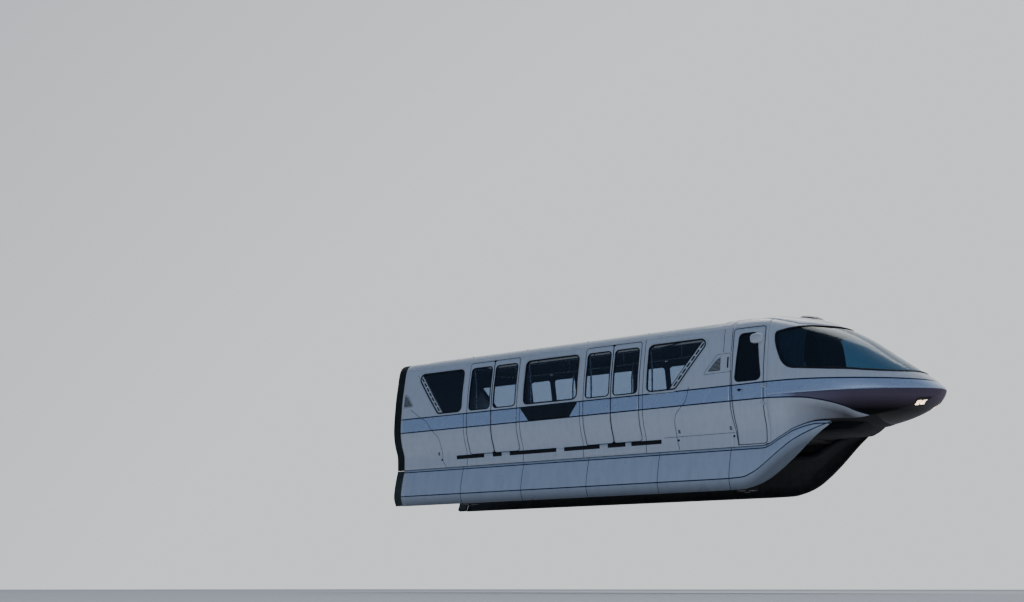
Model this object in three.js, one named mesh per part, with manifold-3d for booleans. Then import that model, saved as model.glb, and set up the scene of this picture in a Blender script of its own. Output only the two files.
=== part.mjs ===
// Straddle-beam monorail end car: saloon, streamlined cab, skirts, two bogies and half of its bellows.
// Millimetres, +X to the nose, +Y to the left, +Z up. The origin lies on the beam's running surface,
// midway between the two bogies.

import * as THREE from 'three';
import Module from 'manifold-3d';
import { mergeVertices } from 'three/addons/utils/BufferGeometryUtils.js';

const wasm = await Module();
wasm.setup();

// Driving dimensions

const GAP = 0.3;                 // between pieces that rest face to face
const TAIL_X = -4210;            // end of the saloon body
const JOINT_X = 4150;            // where saloon and cab meet
const NARROW_X = 4850;           // the cab's sides start to narrow here
const TIP_X = 7870;              // tip of the nose
const HALF_WIDTH = 1320;         // at the crease
const CREASE_Z = 750;
const FOOT_Z = -180;             // lower edge of the body
const WALL = 60;
const DOOR_THICK = 45;
const DOOR_GAP = 6;
const GUTTER_Z = 2190;           // side wall meets roof
const FLOOR_TOP = 75;
const FLOOR_UNDER = 25;
const BEAM_HALF = 330;
const BOGIE_X = 3610;
const LOAD_RADIUS = 480;
const AXLE_RADIUS = 60;
const AXLE_END = 428;
const GUIDE_RADIUS = 220;
const GUIDE_Y = BEAM_HALF + GUIDE_RADIUS;
const GUIDE_X = 330;
const GUIDE_Z = -150;
const STABILISER_Z = -840;
const PIN_RADIUS = 35;
const BELLOWS_END = -4440;
const BULKHEAD_X = 3070;         // foot of the slanted bulkheads
const GLASS_DEPTH = 10;          // how far the glass lies inside the skin
const GLASS_THICK = 12;

// Colours, roughness and metalness of each finish

const FINISHES = {
  white: [0xdfe4ea, 0.32, 0.1],
  belly: [0x39333a, 0.35, 0.2],
  glass: [0x1c2430, 0.08, 0.0],
  rubber: [0x42504c, 0.85, 0.0],
  tyre: [0x1d1e20, 0.9, 0.0],
  steel: [0x4c5054, 0.55, 0.6],
  grey: [0x8b9096, 0.7, 0.1],
  fabric: [0x46597a, 0.9, 0.0],
  lamp: [0xfff0cc, 0.2, 0.0],
};

const group = new THREE.Group();

// Solids and booleans

function solid(geometry) {
  const bare = geometry.index ? geometry.clone() : geometry;
  bare.deleteAttribute('normal');
  bare.deleteAttribute('uv');
  const merged = mergeVertices(bare, 0.001);
  return new wasm.Manifold(new wasm.Mesh({
    numProp: 3,
    vertProperties: new Float32Array(merged.attributes.position.array),
    triVerts: new Uint32Array(merged.index.array),
  }));
}

function geometryOf(manifold) {
  const mesh = manifold.getMesh();
  const geometry = new THREE.BufferGeometry();
  geometry.setAttribute('position', new THREE.BufferAttribute(new Float32Array(mesh.vertProperties), 3));
  geometry.setIndex(new THREE.BufferAttribute(new Uint32Array(mesh.triVerts), 1));
  geometry.computeVertexNormals();
  return geometry;
}

function addPiece(name, shape, finish) {
  const geometry = shape.isBufferGeometry ? shape : geometryOf(shape);
  const [color, roughness, metalness] = FINISHES[finish];
  const mesh = new THREE.Mesh(geometry, new THREE.MeshStandardMaterial({ color, roughness, metalness }));
  mesh.name = name;
  group.add(mesh);
}

function box(x0, x1, y0, y1, z0, z1) {
  const geometry = new THREE.BoxGeometry(x1 - x0, y1 - y0, z1 - z0);
  geometry.translate((x0 + x1) / 2, (y0 + y1) / 2, (z0 + z1) / 2);
  return solid(geometry);
}

function uprightCylinder(x, y, z0, z1, radius, segments) {
  const geometry = new THREE.CylinderGeometry(radius, radius, z1 - z0, segments);
  geometry.rotateX(Math.PI / 2);
  geometry.translate(x, y, (z0 + z1) / 2);
  return solid(geometry);
}

function crossCylinder(x, z, y0, y1, radius, segments) {
  const geometry = new THREE.CylinderGeometry(radius, radius, y1 - y0, segments);
  geometry.translate(x, (y0 + y1) / 2, z);
  return solid(geometry);
}

// An outline in the XZ plane, its corners rounded, made a prism from y0 to y1.
function sidePrism(corners, radius, y0, y1) {
  const shape = new THREE.Shape();
  corners.forEach((corner, i) => {
    const here = new THREE.Vector2(...corner);
    const before = new THREE.Vector2(...corners[(i + corners.length - 1) % corners.length]);
    const after = new THREE.Vector2(...corners[(i + 1) % corners.length]);
    const reach = Math.min(radius, before.distanceTo(here) / 2.01, after.distanceTo(here) / 2.01);
    const from = here.clone().add(before.sub(here).setLength(reach));
    const to = here.clone().add(after.sub(here).setLength(reach));
    if (i === 0) shape.moveTo(from.x, from.y);
    else shape.lineTo(from.x, from.y);
    if (radius > 0) shape.quadraticCurveTo(here.x, here.y, to.x, to.y);
  });
  shape.closePath();
  const geometry = new THREE.ExtrudeGeometry(shape, { depth: y1 - y0, bevelEnabled: false, curveSegments: 3 });
  geometry.rotateX(Math.PI / 2);
  geometry.translate(0, y1, 0);
  return solid(geometry);
}

// The same prism on the side named by sign: +1 left, -1 right.
function wallPrism(corners, radius, sign) {
  return sign > 0 ? sidePrism(corners, radius, 600, 1500) : sidePrism(corners, radius, -1500, -600);
}

// Corners moved inwards by a margin, for a pane or leaf that lies inside its opening.
function shrunk(corners, margin) {
  const turn = signedArea(corners) > 0 ? 1 : -1;
  return corners.map((corner, i) => {
    const a = corners[(i + corners.length - 1) % corners.length];
    const b = corners[(i + 1) % corners.length];
    const one = unit(corner[0] - a[0], corner[1] - a[1]);
    const two = unit(b[0] - corner[0], b[1] - corner[1]);
    const normal = unit(-(one[1] + two[1]) * turn, (one[0] + two[0]) * turn);
    const spread = Math.max(0.4, -one[1] * turn * normal[0] + one[0] * turn * normal[1]);
    return [corner[0] + normal[0] * margin / spread, corner[1] + normal[1] * margin / spread];
  });
}

function unit(x, y) {
  const length = Math.hypot(x, y) || 1;
  return [x / length, y / length];
}

function signedArea(corners) {
  return corners.reduce((sum, [x, y], i) => {
    const [nx, ny] = corners[(i + 1) % corners.length];
    return sum + (x * ny - nx * y) / 2;
  }, 0);
}

// A closed body through rings of points with like counts. Each ring is an array of [x, y, z].
// Its two ends are flat: fans from their middle on a full section, else cut into triangles.
function loft(rings, full = false) {
  const count = rings[0].length;
  const position = rings.flat(2);
  const index = [];
  for (let r = 0; r + 1 < rings.length; r++) {
    for (let i = 0; i < count; i++) {
      const a = r * count + i;
      const b = r * count + (i + 1) % count;
      index.push(a, b, a + count, b, b + count, a + count);
    }
  }
  const last = (rings.length - 1) * count;
  for (const [start, end] of [[0, rings[0]], [last, rings[rings.length - 1]]]) {
    let triangles = [];
    if (full) {
      const hub = position.length / 3;
      position.push(end[0][0], 0, end.reduce((sum, p) => sum + p[2] / count, 0));
      triangles = end.map((_, i) => [hub, start + i, start + (i + 1) % count]);
    } else {
      const flat = end.map(([, y, z]) => new THREE.Vector2(y, z));
      triangles = THREE.ShapeUtils.triangulateShape(flat, []).map((t) => t.map((i) => start + i));
    }
    for (const [a, b, c] of triangles) index.push(...(start === 0 ? [a, c, b] : [a, b, c]));
  }
  const geometry = new THREE.BufferGeometry();
  geometry.setAttribute('position', new THREE.BufferAttribute(new Float32Array(position), 3));
  geometry.setIndex(index);
  return solid(geometry);
}

// The part of a body on the car's right and its mirror image, so that both sides are exactly alike.
function bothSides(shape) {
  const right = shape.trimByPlane([0, -1, 0], 0);
  return right.add(right.mirror([0, 1, 0]));
}

// A closed outline of [y, z] in the section plane, carried straight from x0 to x1.
function extrudeSection(outline, x0, x1) {
  const turned = signedArea(outline) > 0 ? outline : outline.slice().reverse();
  return loft([x0, x1].map((x) => turned.map(([y, z]) => [x, y, z])));
}

// Section of the body

// Upper half, from crease to crown. Columns: share of the half width, share of the height over the crease.
const UPPER = [
  [1.000, 0.000], [0.9925, 0.1155], [0.970, 0.292], [0.952, 0.419], [0.9076, 0.611], [0.860, 0.802],
  [0.822, 0.872], [0.765, 0.919], [0.682, 0.948], [0.530, 0.974], [0.265, 0.994], [0.000, 1.000],
];
// Lower half, from bottom centre to crease. Columns: share of the half width, share of the depth below it.
const LOWER = [
  [0.000, 1.000], [0.500, 1.000], [0.8826, 1.000], [0.884, 0.832], [0.890, 0.674], [0.909, 0.584],
  [0.934, 0.495], [0.958, 0.410], [0.9735, 0.316], [0.987, 0.232], [0.996, 0.116],
];

// Stations of the nose. Columns: x, height of the crown, height of the lowest line.
const NOSE = [
  [4150, 2415, -180], [4750, 2415, -180], [5150, 2365, 0], [5390, 2325, 120], [5830, 2205, 215],
  [6150, 2065, 200], [6520, 1850, 160], [6760, 1675, 190], [7030, 1465, 240], [7300, 1265, 320],
  [7540, 1075, 430], [7700, 945, 520], [7800, 850, 620], [7862, 785, 735],
];

function tableAt(table, x, column) {
  const i = Math.min(Math.max(table.findIndex((row) => row[0] > x), 1), table.length - 1);
  const before = table[i - 1];
  const after = table[x >= table[table.length - 1][0] ? table.length - 1 : i];
  if (after === before || x <= before[0]) return before[column];
  const share = Math.min((x - before[0]) / (after[0] - before[0]), 1);
  return before[column] + (after[column] - before[column]) * share;
}

function halfWidthAt(x) {
  const along = Math.max(0, (x - NARROW_X) / (TIP_X - NARROW_X));
  return HALF_WIDTH * Math.sqrt(Math.max(0, 1 - along * along));
}

function roundness(x, from, to) {
  const share = Math.min(Math.max((x - from) / (to - from), 0), 1);
  return share * share * (3 - 2 * share);
}

// One side of the section at x, from bottom centre to crown, as [half width, z].
// Towards the nose each point slides along its own ray to an ellipse.
function sideAt(x) {
  const width = halfWidthAt(x);
  const crown = tableAt(NOSE, x, 1);
  const bottom = tableAt(NOSE, x, 2);
  const place = ([y, h], round, span) => {
    const length = Math.hypot(y, h);
    const scale = 1 + (1 / length - 1) * round;
    return [y * scale * width, CREASE_Z + h * scale * span];
  };
  const lower = LOWER.map((p) => place(p, 0.85 * roundness(x, 5300, 7200), bottom - CREASE_Z));
  const upper = UPPER.map((p) => place(p, roundness(x, 4400, 6900), crown - CREASE_Z));
  return [...lower, ...upper];
}

// The side's points moved inwards, square to the outline.
function insetSide(side, depth) {
  return side.map(([y, z], i) => {
    const [ay, az] = side[Math.max(i - 1, 0)];
    const [by, bz] = side[Math.min(i + 1, side.length - 1)];
    const [ty, tz] = unit(by - ay, bz - az);
    if (y === 0) return [0, z + (i === 0 ? depth : -depth)];
    return [Math.max(y - tz * depth, 1), z + ty * depth];
  });
}

function ring(side, x) {
  const right = side.slice(1, -1).map(([y, z]) => [x, -y, z]);
  const left = side.slice().reverse().map(([y, z]) => [x, y, z]);
  return [...left.slice(0, -1), [x, 0, side[0][1]], ...right].reverse();
}

// The nose as a full body, its skin moved inwards by depth and its tip drawn back to match.
function noseBody(depth, from, to) {
  const stations = [from, ...NOSE.map((row) => row[0]).filter((x) => x > from && x < to), to];
  return bothSides(loft(stations.map((x) => {
    const ahead = x + depth * roundness(x, 4900, 6600);
    return ring(insetSide(sideAt(Math.min(ahead, 7862)), depth), x);
  }), true));
}

const SALOON_SIDE = sideAt(JOINT_X);
const FOOT_INDEX = 2;

function saloonLine(depth) {
  return insetSide(SALOON_SIDE, depth).slice(FOOT_INDEX).map(([y, z], i) => (i === 0 ? [y, FOOT_Z] : [y, z]));
}

function halfAtHeight(line, z) {
  const i = Math.max(line.findIndex((p) => p[1] > z), 1);
  const [y0, z0] = line[i - 1];
  const [y1, z1] = line[i];
  return y0 + (y1 - y0) * (z - z0) / (z1 - z0);
}

// Outline of a band of the saloon's skin between two depths and two heights, on one side.
function bandOutline(outerDepth, innerDepth, z0, z1, sign) {
  const strip = (depth) => {
    const line = saloonLine(depth);
    const middle = line.filter(([, z]) => z > z0 && z < z1);
    const first = z0 <= FOOT_Z ? [line[0]] : [[halfAtHeight(line, z0), z0]];
    return [...first, ...middle.filter((p) => p[1] > first[0][1]), [halfAtHeight(line, z1), z1]];
  };
  return [...strip(outerDepth), ...strip(innerDepth).reverse()].map(([y, z]) => [sign * y, z]);
}

// The saloon's full section, for cutting bulkheads to it.
function saloonCore(depth, x0, x1) {
  const line = saloonLine(depth);
  const outline = [...line, ...line.slice(0, -1).reverse().map(([y, z]) => [-y, z])];
  return extrudeSection(outline, x0, x1);
}

// Side openings

// Passenger door leaves. Columns: name, x of the rear edge, x of the front edge.
const LEAVES = [
  ['rear_door_rear_leaf', -2290, -1620], ['rear_door_front_leaf', -1620, -930],
  ['front_door_rear_leaf', 780, 1450], ['front_door_front_leaf', 1450, 2120],
];
const DOOR_Z = [72, 2140];
const DOOR_CORNER = 60;
const LEAF_WINDOW_Z = [1050, 2010];
const LEAF_WINDOW_SIDE = 50;

// Fixed windows of the saloon. Columns: name, corners as [x, z].
const WINDOWS = [
  ['rear_window', [[-3120, 1050], [-2460, 1050], [-2460, 2020], [-3840, 2020]]],
  ['centre_window', [[-750, 1060], [610, 1060], [610, 2020], [-750, 2020]]],
  ['front_window', [[2302, 1050], [2950, 1050], [3680, 2020], [2302, 2020]]],
];
const WINDOW_RADIUS = 110;
const SIDES = [['left', 1], ['right', -1]];

const rectangle = (x0, x1, z0, z1) => [[x0, z0], [x1, z0], [x1, z1], [x0, z1]];

const CAB_DOOR = [[4245, -150], [4840, -150], [4840, 2140], [4180, 2140], [4180, 900]];
const CAB_DOOR_WINDOW = [[4240, 1070], [4778, 1070], [4660, 2020], [4310, 2020]];

// Windscreen in side view: rear edge, arched top, then past the nose and back along its foot.
const WINDSCREEN = [
  [5310, 1262], [5750, 1210], [6490, 1140], [6950, 1105], [7800, 1100], [7800, 1985], [6330, 1985],
  [6050, 2050], [5750, 2075], [5450, 2045], [5170, 1985], [5020, 1880],
];

// Relief of the sides. Each form is cut into the wall or fused to it.
const FRAME_WIDTH = 26;          // raised surround of a fixed window
const FRAME_PROUD = 6;
const FUSE = 2;                  // how far a raised form goes into what carries it
const SLACK = 20;                // how far a band runs on past the corners that cut it
const GUTTER = { x: [TAIL_X + 5, JOINT_X - 5], z: [2164, 2184], proud: 10 };
const DOOR_TRACK = { x: [-2670, 2560], z: [4, 56], depth: 14 };
const LOW_PANEL = { corners: [[-590, 660], [430, 660], [650, 985], [-840, 985]], depth: 5 };
// Ventilation grilles. Columns: their corners as [x, z].
const GRILLES = [
  [[3650, 1320], [3930, 1320], [3930, 1605], [3820, 1530]],
  [[-4150, 1285], [-3890, 1285], [-4040, 1490], [-4150, 1555]],
];
const SLAT = { depth: [3, 13], height: 20, pitch: 46, count: 6, recess: 12 };
// Ventilation strips along the slanted edges of the end windows. Columns: window, corners as [x, z].
const STRIPS = { rear_window: [[-3125, 1045], [-3005, 1045], [-3725, 2025], [-3850, 2025]],
  front_window: [[2835, 1045], [2955, 1045], [3690, 2025], [3565, 2025]] };
const STRIP_THICK = 12;

// A band of the skin between two depths, cut to corners in side view. Depths below 0 stand proud.
function reliefOn(sign, depths, corners, radius) {
  const [xs, zs] = [0, 1].map((axis) => corners.map((corner) => corner[axis]));
  const band = bandOutline(...depths, Math.min(...zs) - SLACK, Math.max(...zs) + SLACK, sign);
  return extrudeSection(band, Math.min(...xs) - SLACK, Math.max(...xs) + SLACK)
    .intersect(wallPrism(corners, radius, sign));
}

function dressWall(plain, sign) {
  let wall = plain;
  for (const [, corners] of WINDOWS) {
    const outline = shrunk(corners, -FRAME_WIDTH);
    wall = wall.add(reliefOn(sign, [-FRAME_PROUD, FUSE], outline, WINDOW_RADIUS + FRAME_WIDTH))
      .subtract(wallPrism(corners, WINDOW_RADIUS, sign));
  }
  wall = wall.add(reliefOn(sign, [-GUTTER.proud, FUSE], rectangle(...GUTTER.x, ...GUTTER.z), 0));
  wall = wall.subtract(reliefOn(sign, [-FUSE, DOOR_TRACK.depth], rectangle(...DOOR_TRACK.x, ...DOOR_TRACK.z), 0));
  wall = wall.subtract(reliefOn(sign, [-FUSE, LOW_PANEL.depth], LOW_PANEL.corners, 0));
  for (const corners of GRILLES) {
    wall = wall.subtract(reliefOn(sign, [-FUSE, SLAT.recess], corners, 0));
    const foot = corners[0][1] + SLAT.pitch / 2;
    for (let i = 0; i < SLAT.count; i++) {
      const z = foot + i * SLAT.pitch;
      const bar = reliefOn(sign, SLAT.depth, rectangle(TAIL_X, JOINT_X, z, z + SLAT.height), 0);
      wall = wall.add(bar.intersect(wallPrism(shrunk(corners, -FUSE), 0, sign)));
    }
  }
  return wall;
}

function buildSaloon() {
  for (const [side, sign] of SIDES) {
    let wall = extrudeSection(bandOutline(0, WALL, FOOT_Z, GUTTER_Z, sign), TAIL_X, JOINT_X);
    for (const [rear, front] of [[LEAVES[0][1], LEAVES[1][2]], [LEAVES[2][1], LEAVES[3][2]]]) {
      wall = wall.subtract(wallPrism(rectangle(rear, front, ...DOOR_Z), DOOR_CORNER, sign));
    }
    addPiece(`side_wall_${side}`, dressWall(wall, sign), 'white');

    const glass = extrudeSection(
      bandOutline(GLASS_DEPTH, GLASS_DEPTH + GLASS_THICK, 900, 2100, sign), TAIL_X, JOINT_X);
    for (const [name, corners] of WINDOWS) {
      const cut = wallPrism(shrunk(corners, GAP), WINDOW_RADIUS, sign);
      const back = GLASS_DEPTH + GLASS_THICK;
      const strip = STRIPS[name] && reliefOn(sign, [back - FUSE, back + STRIP_THICK], STRIPS[name], 0);
      const pane = strip ? glass.add(strip) : glass;
      addPiece(`${name}_pane_${side}`, pane.intersect(cut), 'glass');
    }

    const skin = extrudeSection(bandOutline(0, DOOR_THICK, 0, GUTTER_Z - GAP, sign), TAIL_X, JOINT_X);
    for (const [name, rear, front] of LEAVES) {
      const leaf = rectangle(rear + DOOR_GAP / 2, front - DOOR_GAP / 2, DOOR_Z[0] + GAP, DOOR_Z[1] - DOOR_GAP);
      const window = rectangle(rear + LEAF_WINDOW_SIDE, front - LEAF_WINDOW_SIDE, ...LEAF_WINDOW_Z);
      const cut = skin.intersect(wallPrism(leaf, DOOR_CORNER + 6, sign)).subtract(wallPrism(window, WINDOW_RADIUS, sign));
      addPiece(`${name}_${side}`, cut, 'white');
    }
  }

  const top = saloonLine(0).filter(([, z]) => z > GUTTER_Z);
  const under = saloonLine(WALL).filter(([, z]) => z > GUTTER_Z + GAP);
  const edge = [[halfAtHeight(saloonLine(0), GUTTER_Z + GAP), GUTTER_Z + GAP], ...top];
  const lining = [[halfAtHeight(saloonLine(WALL), GUTTER_Z + GAP), GUTTER_Z + GAP], ...under];
  const mirrored = (line) => line.slice(0, -1).reverse().map(([y, z]) => [-y, z]);
  const roof = [...edge, ...mirrored(edge), ...mirrored(lining).reverse(), ...lining.slice().reverse()];
  addPiece('roof', extrudeSection(roof, TAIL_X, JOINT_X), 'white');
}

function buildFloor() {
  const inner = halfAtHeight(saloonLine(WALL + GAP), 0) - 1;
  let floor = box(-BULKHEAD_X + GAP, BULKHEAD_X - GAP, -inner, inner, FLOOR_UNDER, FLOOR_TOP);
  for (const [, sign] of SIDES) {
    const [y0, y1] = sign > 0 ? [950, inner] : [-inner, -950];
    floor = floor.add(box(TAIL_X + 10, JOINT_X - 10, y0, y1, FOOT_Z, FLOOR_UNDER - 20));
    floor = floor.add(box(-BULKHEAD_X + GAP, BULKHEAD_X - GAP, y0, y1, FOOT_Z, FLOOR_UNDER + 5));
  }
  addPiece('floor_frame', floor, 'grey');
}

// Slanted bulkhead, shelf over the wheels, end plate and spring seats. sign: +1 front, -1 rear.
function buildWheelHousing(name, sign, endX) {
  const plate = 30;
  const shelfZ = 1070;
  const lean = [
    [BULKHEAD_X, FLOOR_UNDER], [BULKHEAD_X, 1050], [3790, 2045], [3790, 2500],
    [3825, 2500], [3825, 2055], [BULKHEAD_X + plate, 1062], [BULKHEAD_X + plate, FLOOR_UNDER],
  ].map(([x, z]) => [x * sign, z]);
  const end = [endX, endX - sign * plate].sort((a, b) => a - b);
  const shelf = [sign * (BULKHEAD_X + 20), endX - sign * 10].sort((a, b) => a - b);
  const core = saloonCore(WALL + GAP, TAIL_X - 5, JOINT_X + 5);
  let housing = sidePrism(lean, 0, -1300, 1300);
  housing = housing.add(box(...end, -1300, 1300, FLOOR_UNDER, 2500));
  housing = housing.add(box(...shelf, -1300, 1300, shelfZ, shelfZ + plate)).intersect(core);
  for (const y of [-560, 560]) {
    housing = housing.add(uprightCylinder(sign * BOGIE_X, y, 640 + 2 * GAP, shelfZ + 5, 115, 24));
  }
  addPiece(name, housing, 'grey');
}

// Two knuckles on the cab door's front edge, with pins held by lugs of the shell.
const HINGE = { x: 4840, y: 1326, pin: 7, round: 11, heights: [600, 940] };

function hingeLugs(sign) {
  const lug = (x0, x1, z0, z1) => {
    const [y0, y1] = [HINGE.y - 28, HINGE.y + 10].map((y) => sign * y).sort((a, b) => a - b);
    return box(x0, x1, y0, y1, z0, z1)
      .add(uprightCylinder(HINGE.x, sign * HINGE.y, z0, z1, HINGE.round, 12));
  };
  let fixed = null;
  let moving = null;
  for (const z of HINGE.heights) {
    let pair = lug(HINGE.x + 2, HINGE.x + 50, z - 40, z - 14).add(lug(HINGE.x + 2, HINGE.x + 50, z + 14, z + 40));
    pair = pair.add(uprightCylinder(HINGE.x, sign * HINGE.y, z - 38, z + 38, HINGE.pin, 12));
    const knuckle = lug(HINGE.x - 60, HINGE.x - 7, z - 13.7, z + 13.7)
      .add(box(HINGE.x - 20, HINGE.x, ...[HINGE.y - 9, HINGE.y + 9].map((y) => sign * y).sort((a, b) => a - b),
        z - 13.7, z + 13.7))
      .subtract(uprightCylinder(HINGE.x, sign * HINGE.y, z - 20, z + 20, HINGE.pin + 0.6, 12));
    fixed = fixed ? fixed.add(pair) : pair;
    moving = moving ? moving.add(knuckle) : knuckle;
  }
  return { fixed, moving };
}

// The wedge cut from the inner side of the left cab door's rear edge. Low and high on the door the skin
// lies far inside the hinge, so that edge swings back as it swings out. The lip is what stays of the edge.
function doorBevel() {
  const [lip, reach, margin] = [2, 90, 0.06];
  const side = sideAt(JOINT_X).slice(FOOT_INDEX);
  const [[footX, footZ], , , [highX], [, bendZ]] = CAB_DOOR;
  return loft([-400, 0, 200, 400, 600, 900, 1200, 1500, 1800, 2200].map((z) => {
    const skin = halfAtHeight(side, Math.max(z, FOOT_Z + 1));
    const lean = Math.min(Math.max((bendZ - z) / (bendZ - footZ), 0), 1);
    const edge = highX + DOOR_GAP + (footX - highX) * lean;
    const slope = (HINGE.y - skin + DOOR_THICK) / (HINGE.x - edge) + margin;
    const corners = [[edge - 40, skin - lip - reach], [edge + slope * reach, skin - lip - reach],
      [edge, skin - lip], [edge - 40, skin - lip]];
    return corners.map(([x, y]) => [z, y, -x]);
  })).rotate([0, -90, 0]);
}

// Low dome on the cab's roof, from its foot inside the shell. Columns: x, half width, height over the crown.
const DOME = [[5190, 300, 6], [5250, 350, 56], [5480, 350, 62], [5550, 300, 6]];
const DOME_FOOT = -44;

function roofDome() {
  return bothSides(loft(DOME.map(([x, half, rise]) => {
    const [foot, top] = [DOME_FOOT, rise].map((z) => tableAt(NOSE, x, 1) + z);
    return [[x, -half, foot], [x, half, foot], [x, half, top - 5], [x, half - 60, top],
      [x, -half + 60, top], [x, -half, top - 5]];
  })));
}

function buildCab() {
  const outer = noseBody(0, JOINT_X + GAP, 7862);
  const inner = noseBody(WALL - 10, JOINT_X - 50, 7650);
  const pan = bothSides(loft([
    [5150, 640, 60], [5300, 640, 42], [6250, 600, 42], [6420, 560, 95], [6560, 520, 180],
  ].map(([x, half, z]) => [[x, -half, 300], [x, half, 300], [x, half, z + 40], [x, half - 60, z],
    [x, -half + 60, z], [x, -half, z + 40]].reverse())));
  const cabin = inner.intersect(box(JOINT_X - 50, TIP_X, -1300, 1300, FLOOR_TOP, 2500));
  const well = box(JOINT_X - 50, 6150, -590, 590, FLOOR_TOP, 400);
  const below = box(JOINT_X - 50, 5200, -1105, 1105, -300, FLOOR_UNDER);
  let shell = outer.add(pan).subtract(cabin).subtract(well).subtract(below);
  for (const [, sign] of SIDES) {
    shell = shell.subtract(wallPrism(CAB_DOOR, 40, sign)).add(hingeLugs(sign).fixed);
  }

  const upper = shell.intersect(box(JOINT_X - 5, TIP_X, -1400, 1400, CREASE_Z + GAP, 2600));
  addPiece('cab_shell', upper.subtract(sidePrism(WINDSCREEN, 90, -1400, 1400)).add(roofDome()), 'white');

  let lower = shell.intersect(box(JOINT_X - 5, TIP_X, -1400, 1400, -400, CREASE_Z));
  const lampBody = noseBody(4, JOINT_X, 7862).subtract(noseBody(WALL + 20, JOINT_X - 50, 7600));
  for (const [side, sign] of SIDES) {
    const pocket = (margin) => {
      const [y0, y1] = sign > 0 ? [110 + margin, 480 - margin] : [-480 + margin, -110 - margin];
      return box(7400 + margin, 7720 - margin, y0, y1, 430 + margin, 545 - margin);
    };
    lower = lower.subtract(pocket(0));
    addPiece(`headlamp_${side}`, lampBody.intersect(pocket(GAP)), 'lamp');
  }
  addPiece('nose_underside', lower, 'belly');

  const band = noseBody(GLASS_DEPTH, JOINT_X, 7862)
    .subtract(noseBody(GLASS_DEPTH + GLASS_THICK + 2, JOINT_X - 50, 7840));
  addPiece('windscreen', band.intersect(sidePrism(shrunk(WINDSCREEN, GAP), 90, -1400, 1400)), 'glass');

  const doorSkin = outer.subtract(noseBody(DOOR_THICK, JOINT_X - 50, 7650));
  const bevel = doorBevel();
  for (const [side, sign] of SIDES) {
    const span = (y0, y1) => (sign > 0 ? [y0, y1] : [-y1, -y0]);
    let door = doorSkin.intersect(wallPrism(shrunk(CAB_DOOR, DOOR_GAP), 60, sign));
    door = door.intersect(box(4000, 5000, ...span(1000, 1400), -400, 2400));
    door = door.subtract(box(4000, 5000, ...span(900, 1118), -400, -130));
    door = door.subtract(sign > 0 ? bevel : bevel.mirror([0, 1, 0]));
    door = door.subtract(wallPrism(CAB_DOOR_WINDOW, 90, sign));
    addPiece(`cab_door_${side}`, door.add(hingeLugs(sign).moving), 'white');
    const pane = band.intersect(wallPrism(shrunk(CAB_DOOR_WINDOW, GAP), 90, sign));
    addPiece(`cab_door_pane_${side}`, pane, 'glass');
    buildMirrorPod(side, sign, outer);
  }
}

// Rounded pod on a short arm, carried by the front stile of the cab door.
function buildMirrorPod(side, sign, outer) {
  const pod = new THREE.SphereGeometry(1, 12, 8);
  pod.scale(135, 62, 95);
  pod.translate(4690, sign * 1300, 1880);
  const [y0, y1] = sign > 0 ? [1080, 1300] : [-1300, -1080];
  const arm = box(4700, 4790, y0, y1, 1850, 1910);
  const grown = outer.add(outer.translate([0, sign * GAP, 0]));
  addPiece(`mirror_pod_${side}`, solid(pod).add(arm).subtract(grown), 'white');
}

// Skirts hang beside the beam and sweep up under the nose, their top edge along the body's foot.
// Columns: x, bulge height, bottom edge, how far the bulge stands proud.
const SKIRT = [
  [TAIL_X, -800, -1020, 1], [4350, -790, -1015, 1], [4590, -690, -965, 1], [4750, -590, -910, 0.97],
  [4910, -480, -840, 0.95], [5150, -290, -660, 0.85], [5390, -120, -460, 0.7], [5830, 110, -60, 0.45],
  [6080, 150, 100, 0.3],
];
const SKIRT_DROP = 5;            // below the body's foot
const BULGE = 135;

function buildSkirts() {
  const rings = SKIRT.map(([x, bulge, bottom, proud]) => {
    const foot = halfWidthAt(x) * LOWER[FOOT_INDEX][0] - 2;
    const top = tableAt(NOSE, x, 2) - SKIRT_DROP;
    const out = foot + BULGE * proud;
    const drop = bulge - bottom;
    return [
      [foot, top], [out, bulge], [out - 12, bulge - drop * 0.45], [out - 80 * proud, bottom],
      [out - 80 * proud - 70, bottom], [out - 75, bulge - drop * 0.45], [out - 50, bulge], [foot - 45, top],
    ].map(([y, z]) => [x, -y, z]);
  });
  const right = loft(rings).add(box(TAIL_X + 20, JOINT_X - 20, -1130, -960, -225, FOOT_Z - GAP));
  addPiece('skirt_right', right, 'white');
  addPiece('skirt_left', right.mirror([0, 1, 0]), 'white');
}

// Half of the pleated bellows to the next car, open below for the beam.
function buildBellows() {
  const pleats = 4;
  const pitch = (BELLOWS_END - TAIL_X + GAP) / pleats;
  const outline = (depth) => {
    const body = insetSide(SALOON_SIDE, depth).slice(FOOT_INDEX + 1).map(([y, z]) => [y, z]);
    const skirtLine = [[1205 - depth, -1000], [1285 - depth, -800], [1170 - depth, -240]];
    return [...skirtLine, ...body];
  };
  const rings = [];
  for (let i = 0; i <= 2 * pleats; i++) {
    const x = TAIL_X - GAP + pitch * i / 2;
    const depth = i % 2 ? 45 : 8;
    const outer = outline(depth);
    const inner = outline(depth + 55);
    const mirrored = (line) => line.slice(0, -1).reverse().map(([y, z]) => [-y, z]);
    const loop = [...outer, ...mirrored(outer), ...mirrored(inner).reverse(), ...inner.slice().reverse()];
    rings.push(loop.map(([y, z]) => [x, y, z]));
  }
  addPiece('bellows', bothSides(loft(rings.reverse())), 'rubber');
}

function buildDrawbar() {
  let bar = box(BELLOWS_END + 20, TAIL_X - GAP, -60, 60, 140, 260);
  bar = bar.add(box(TAIL_X - 40, TAIL_X - GAP, -160, 160, 60, 360));
  addPiece('drawbar', bar, 'steel');
}

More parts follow.
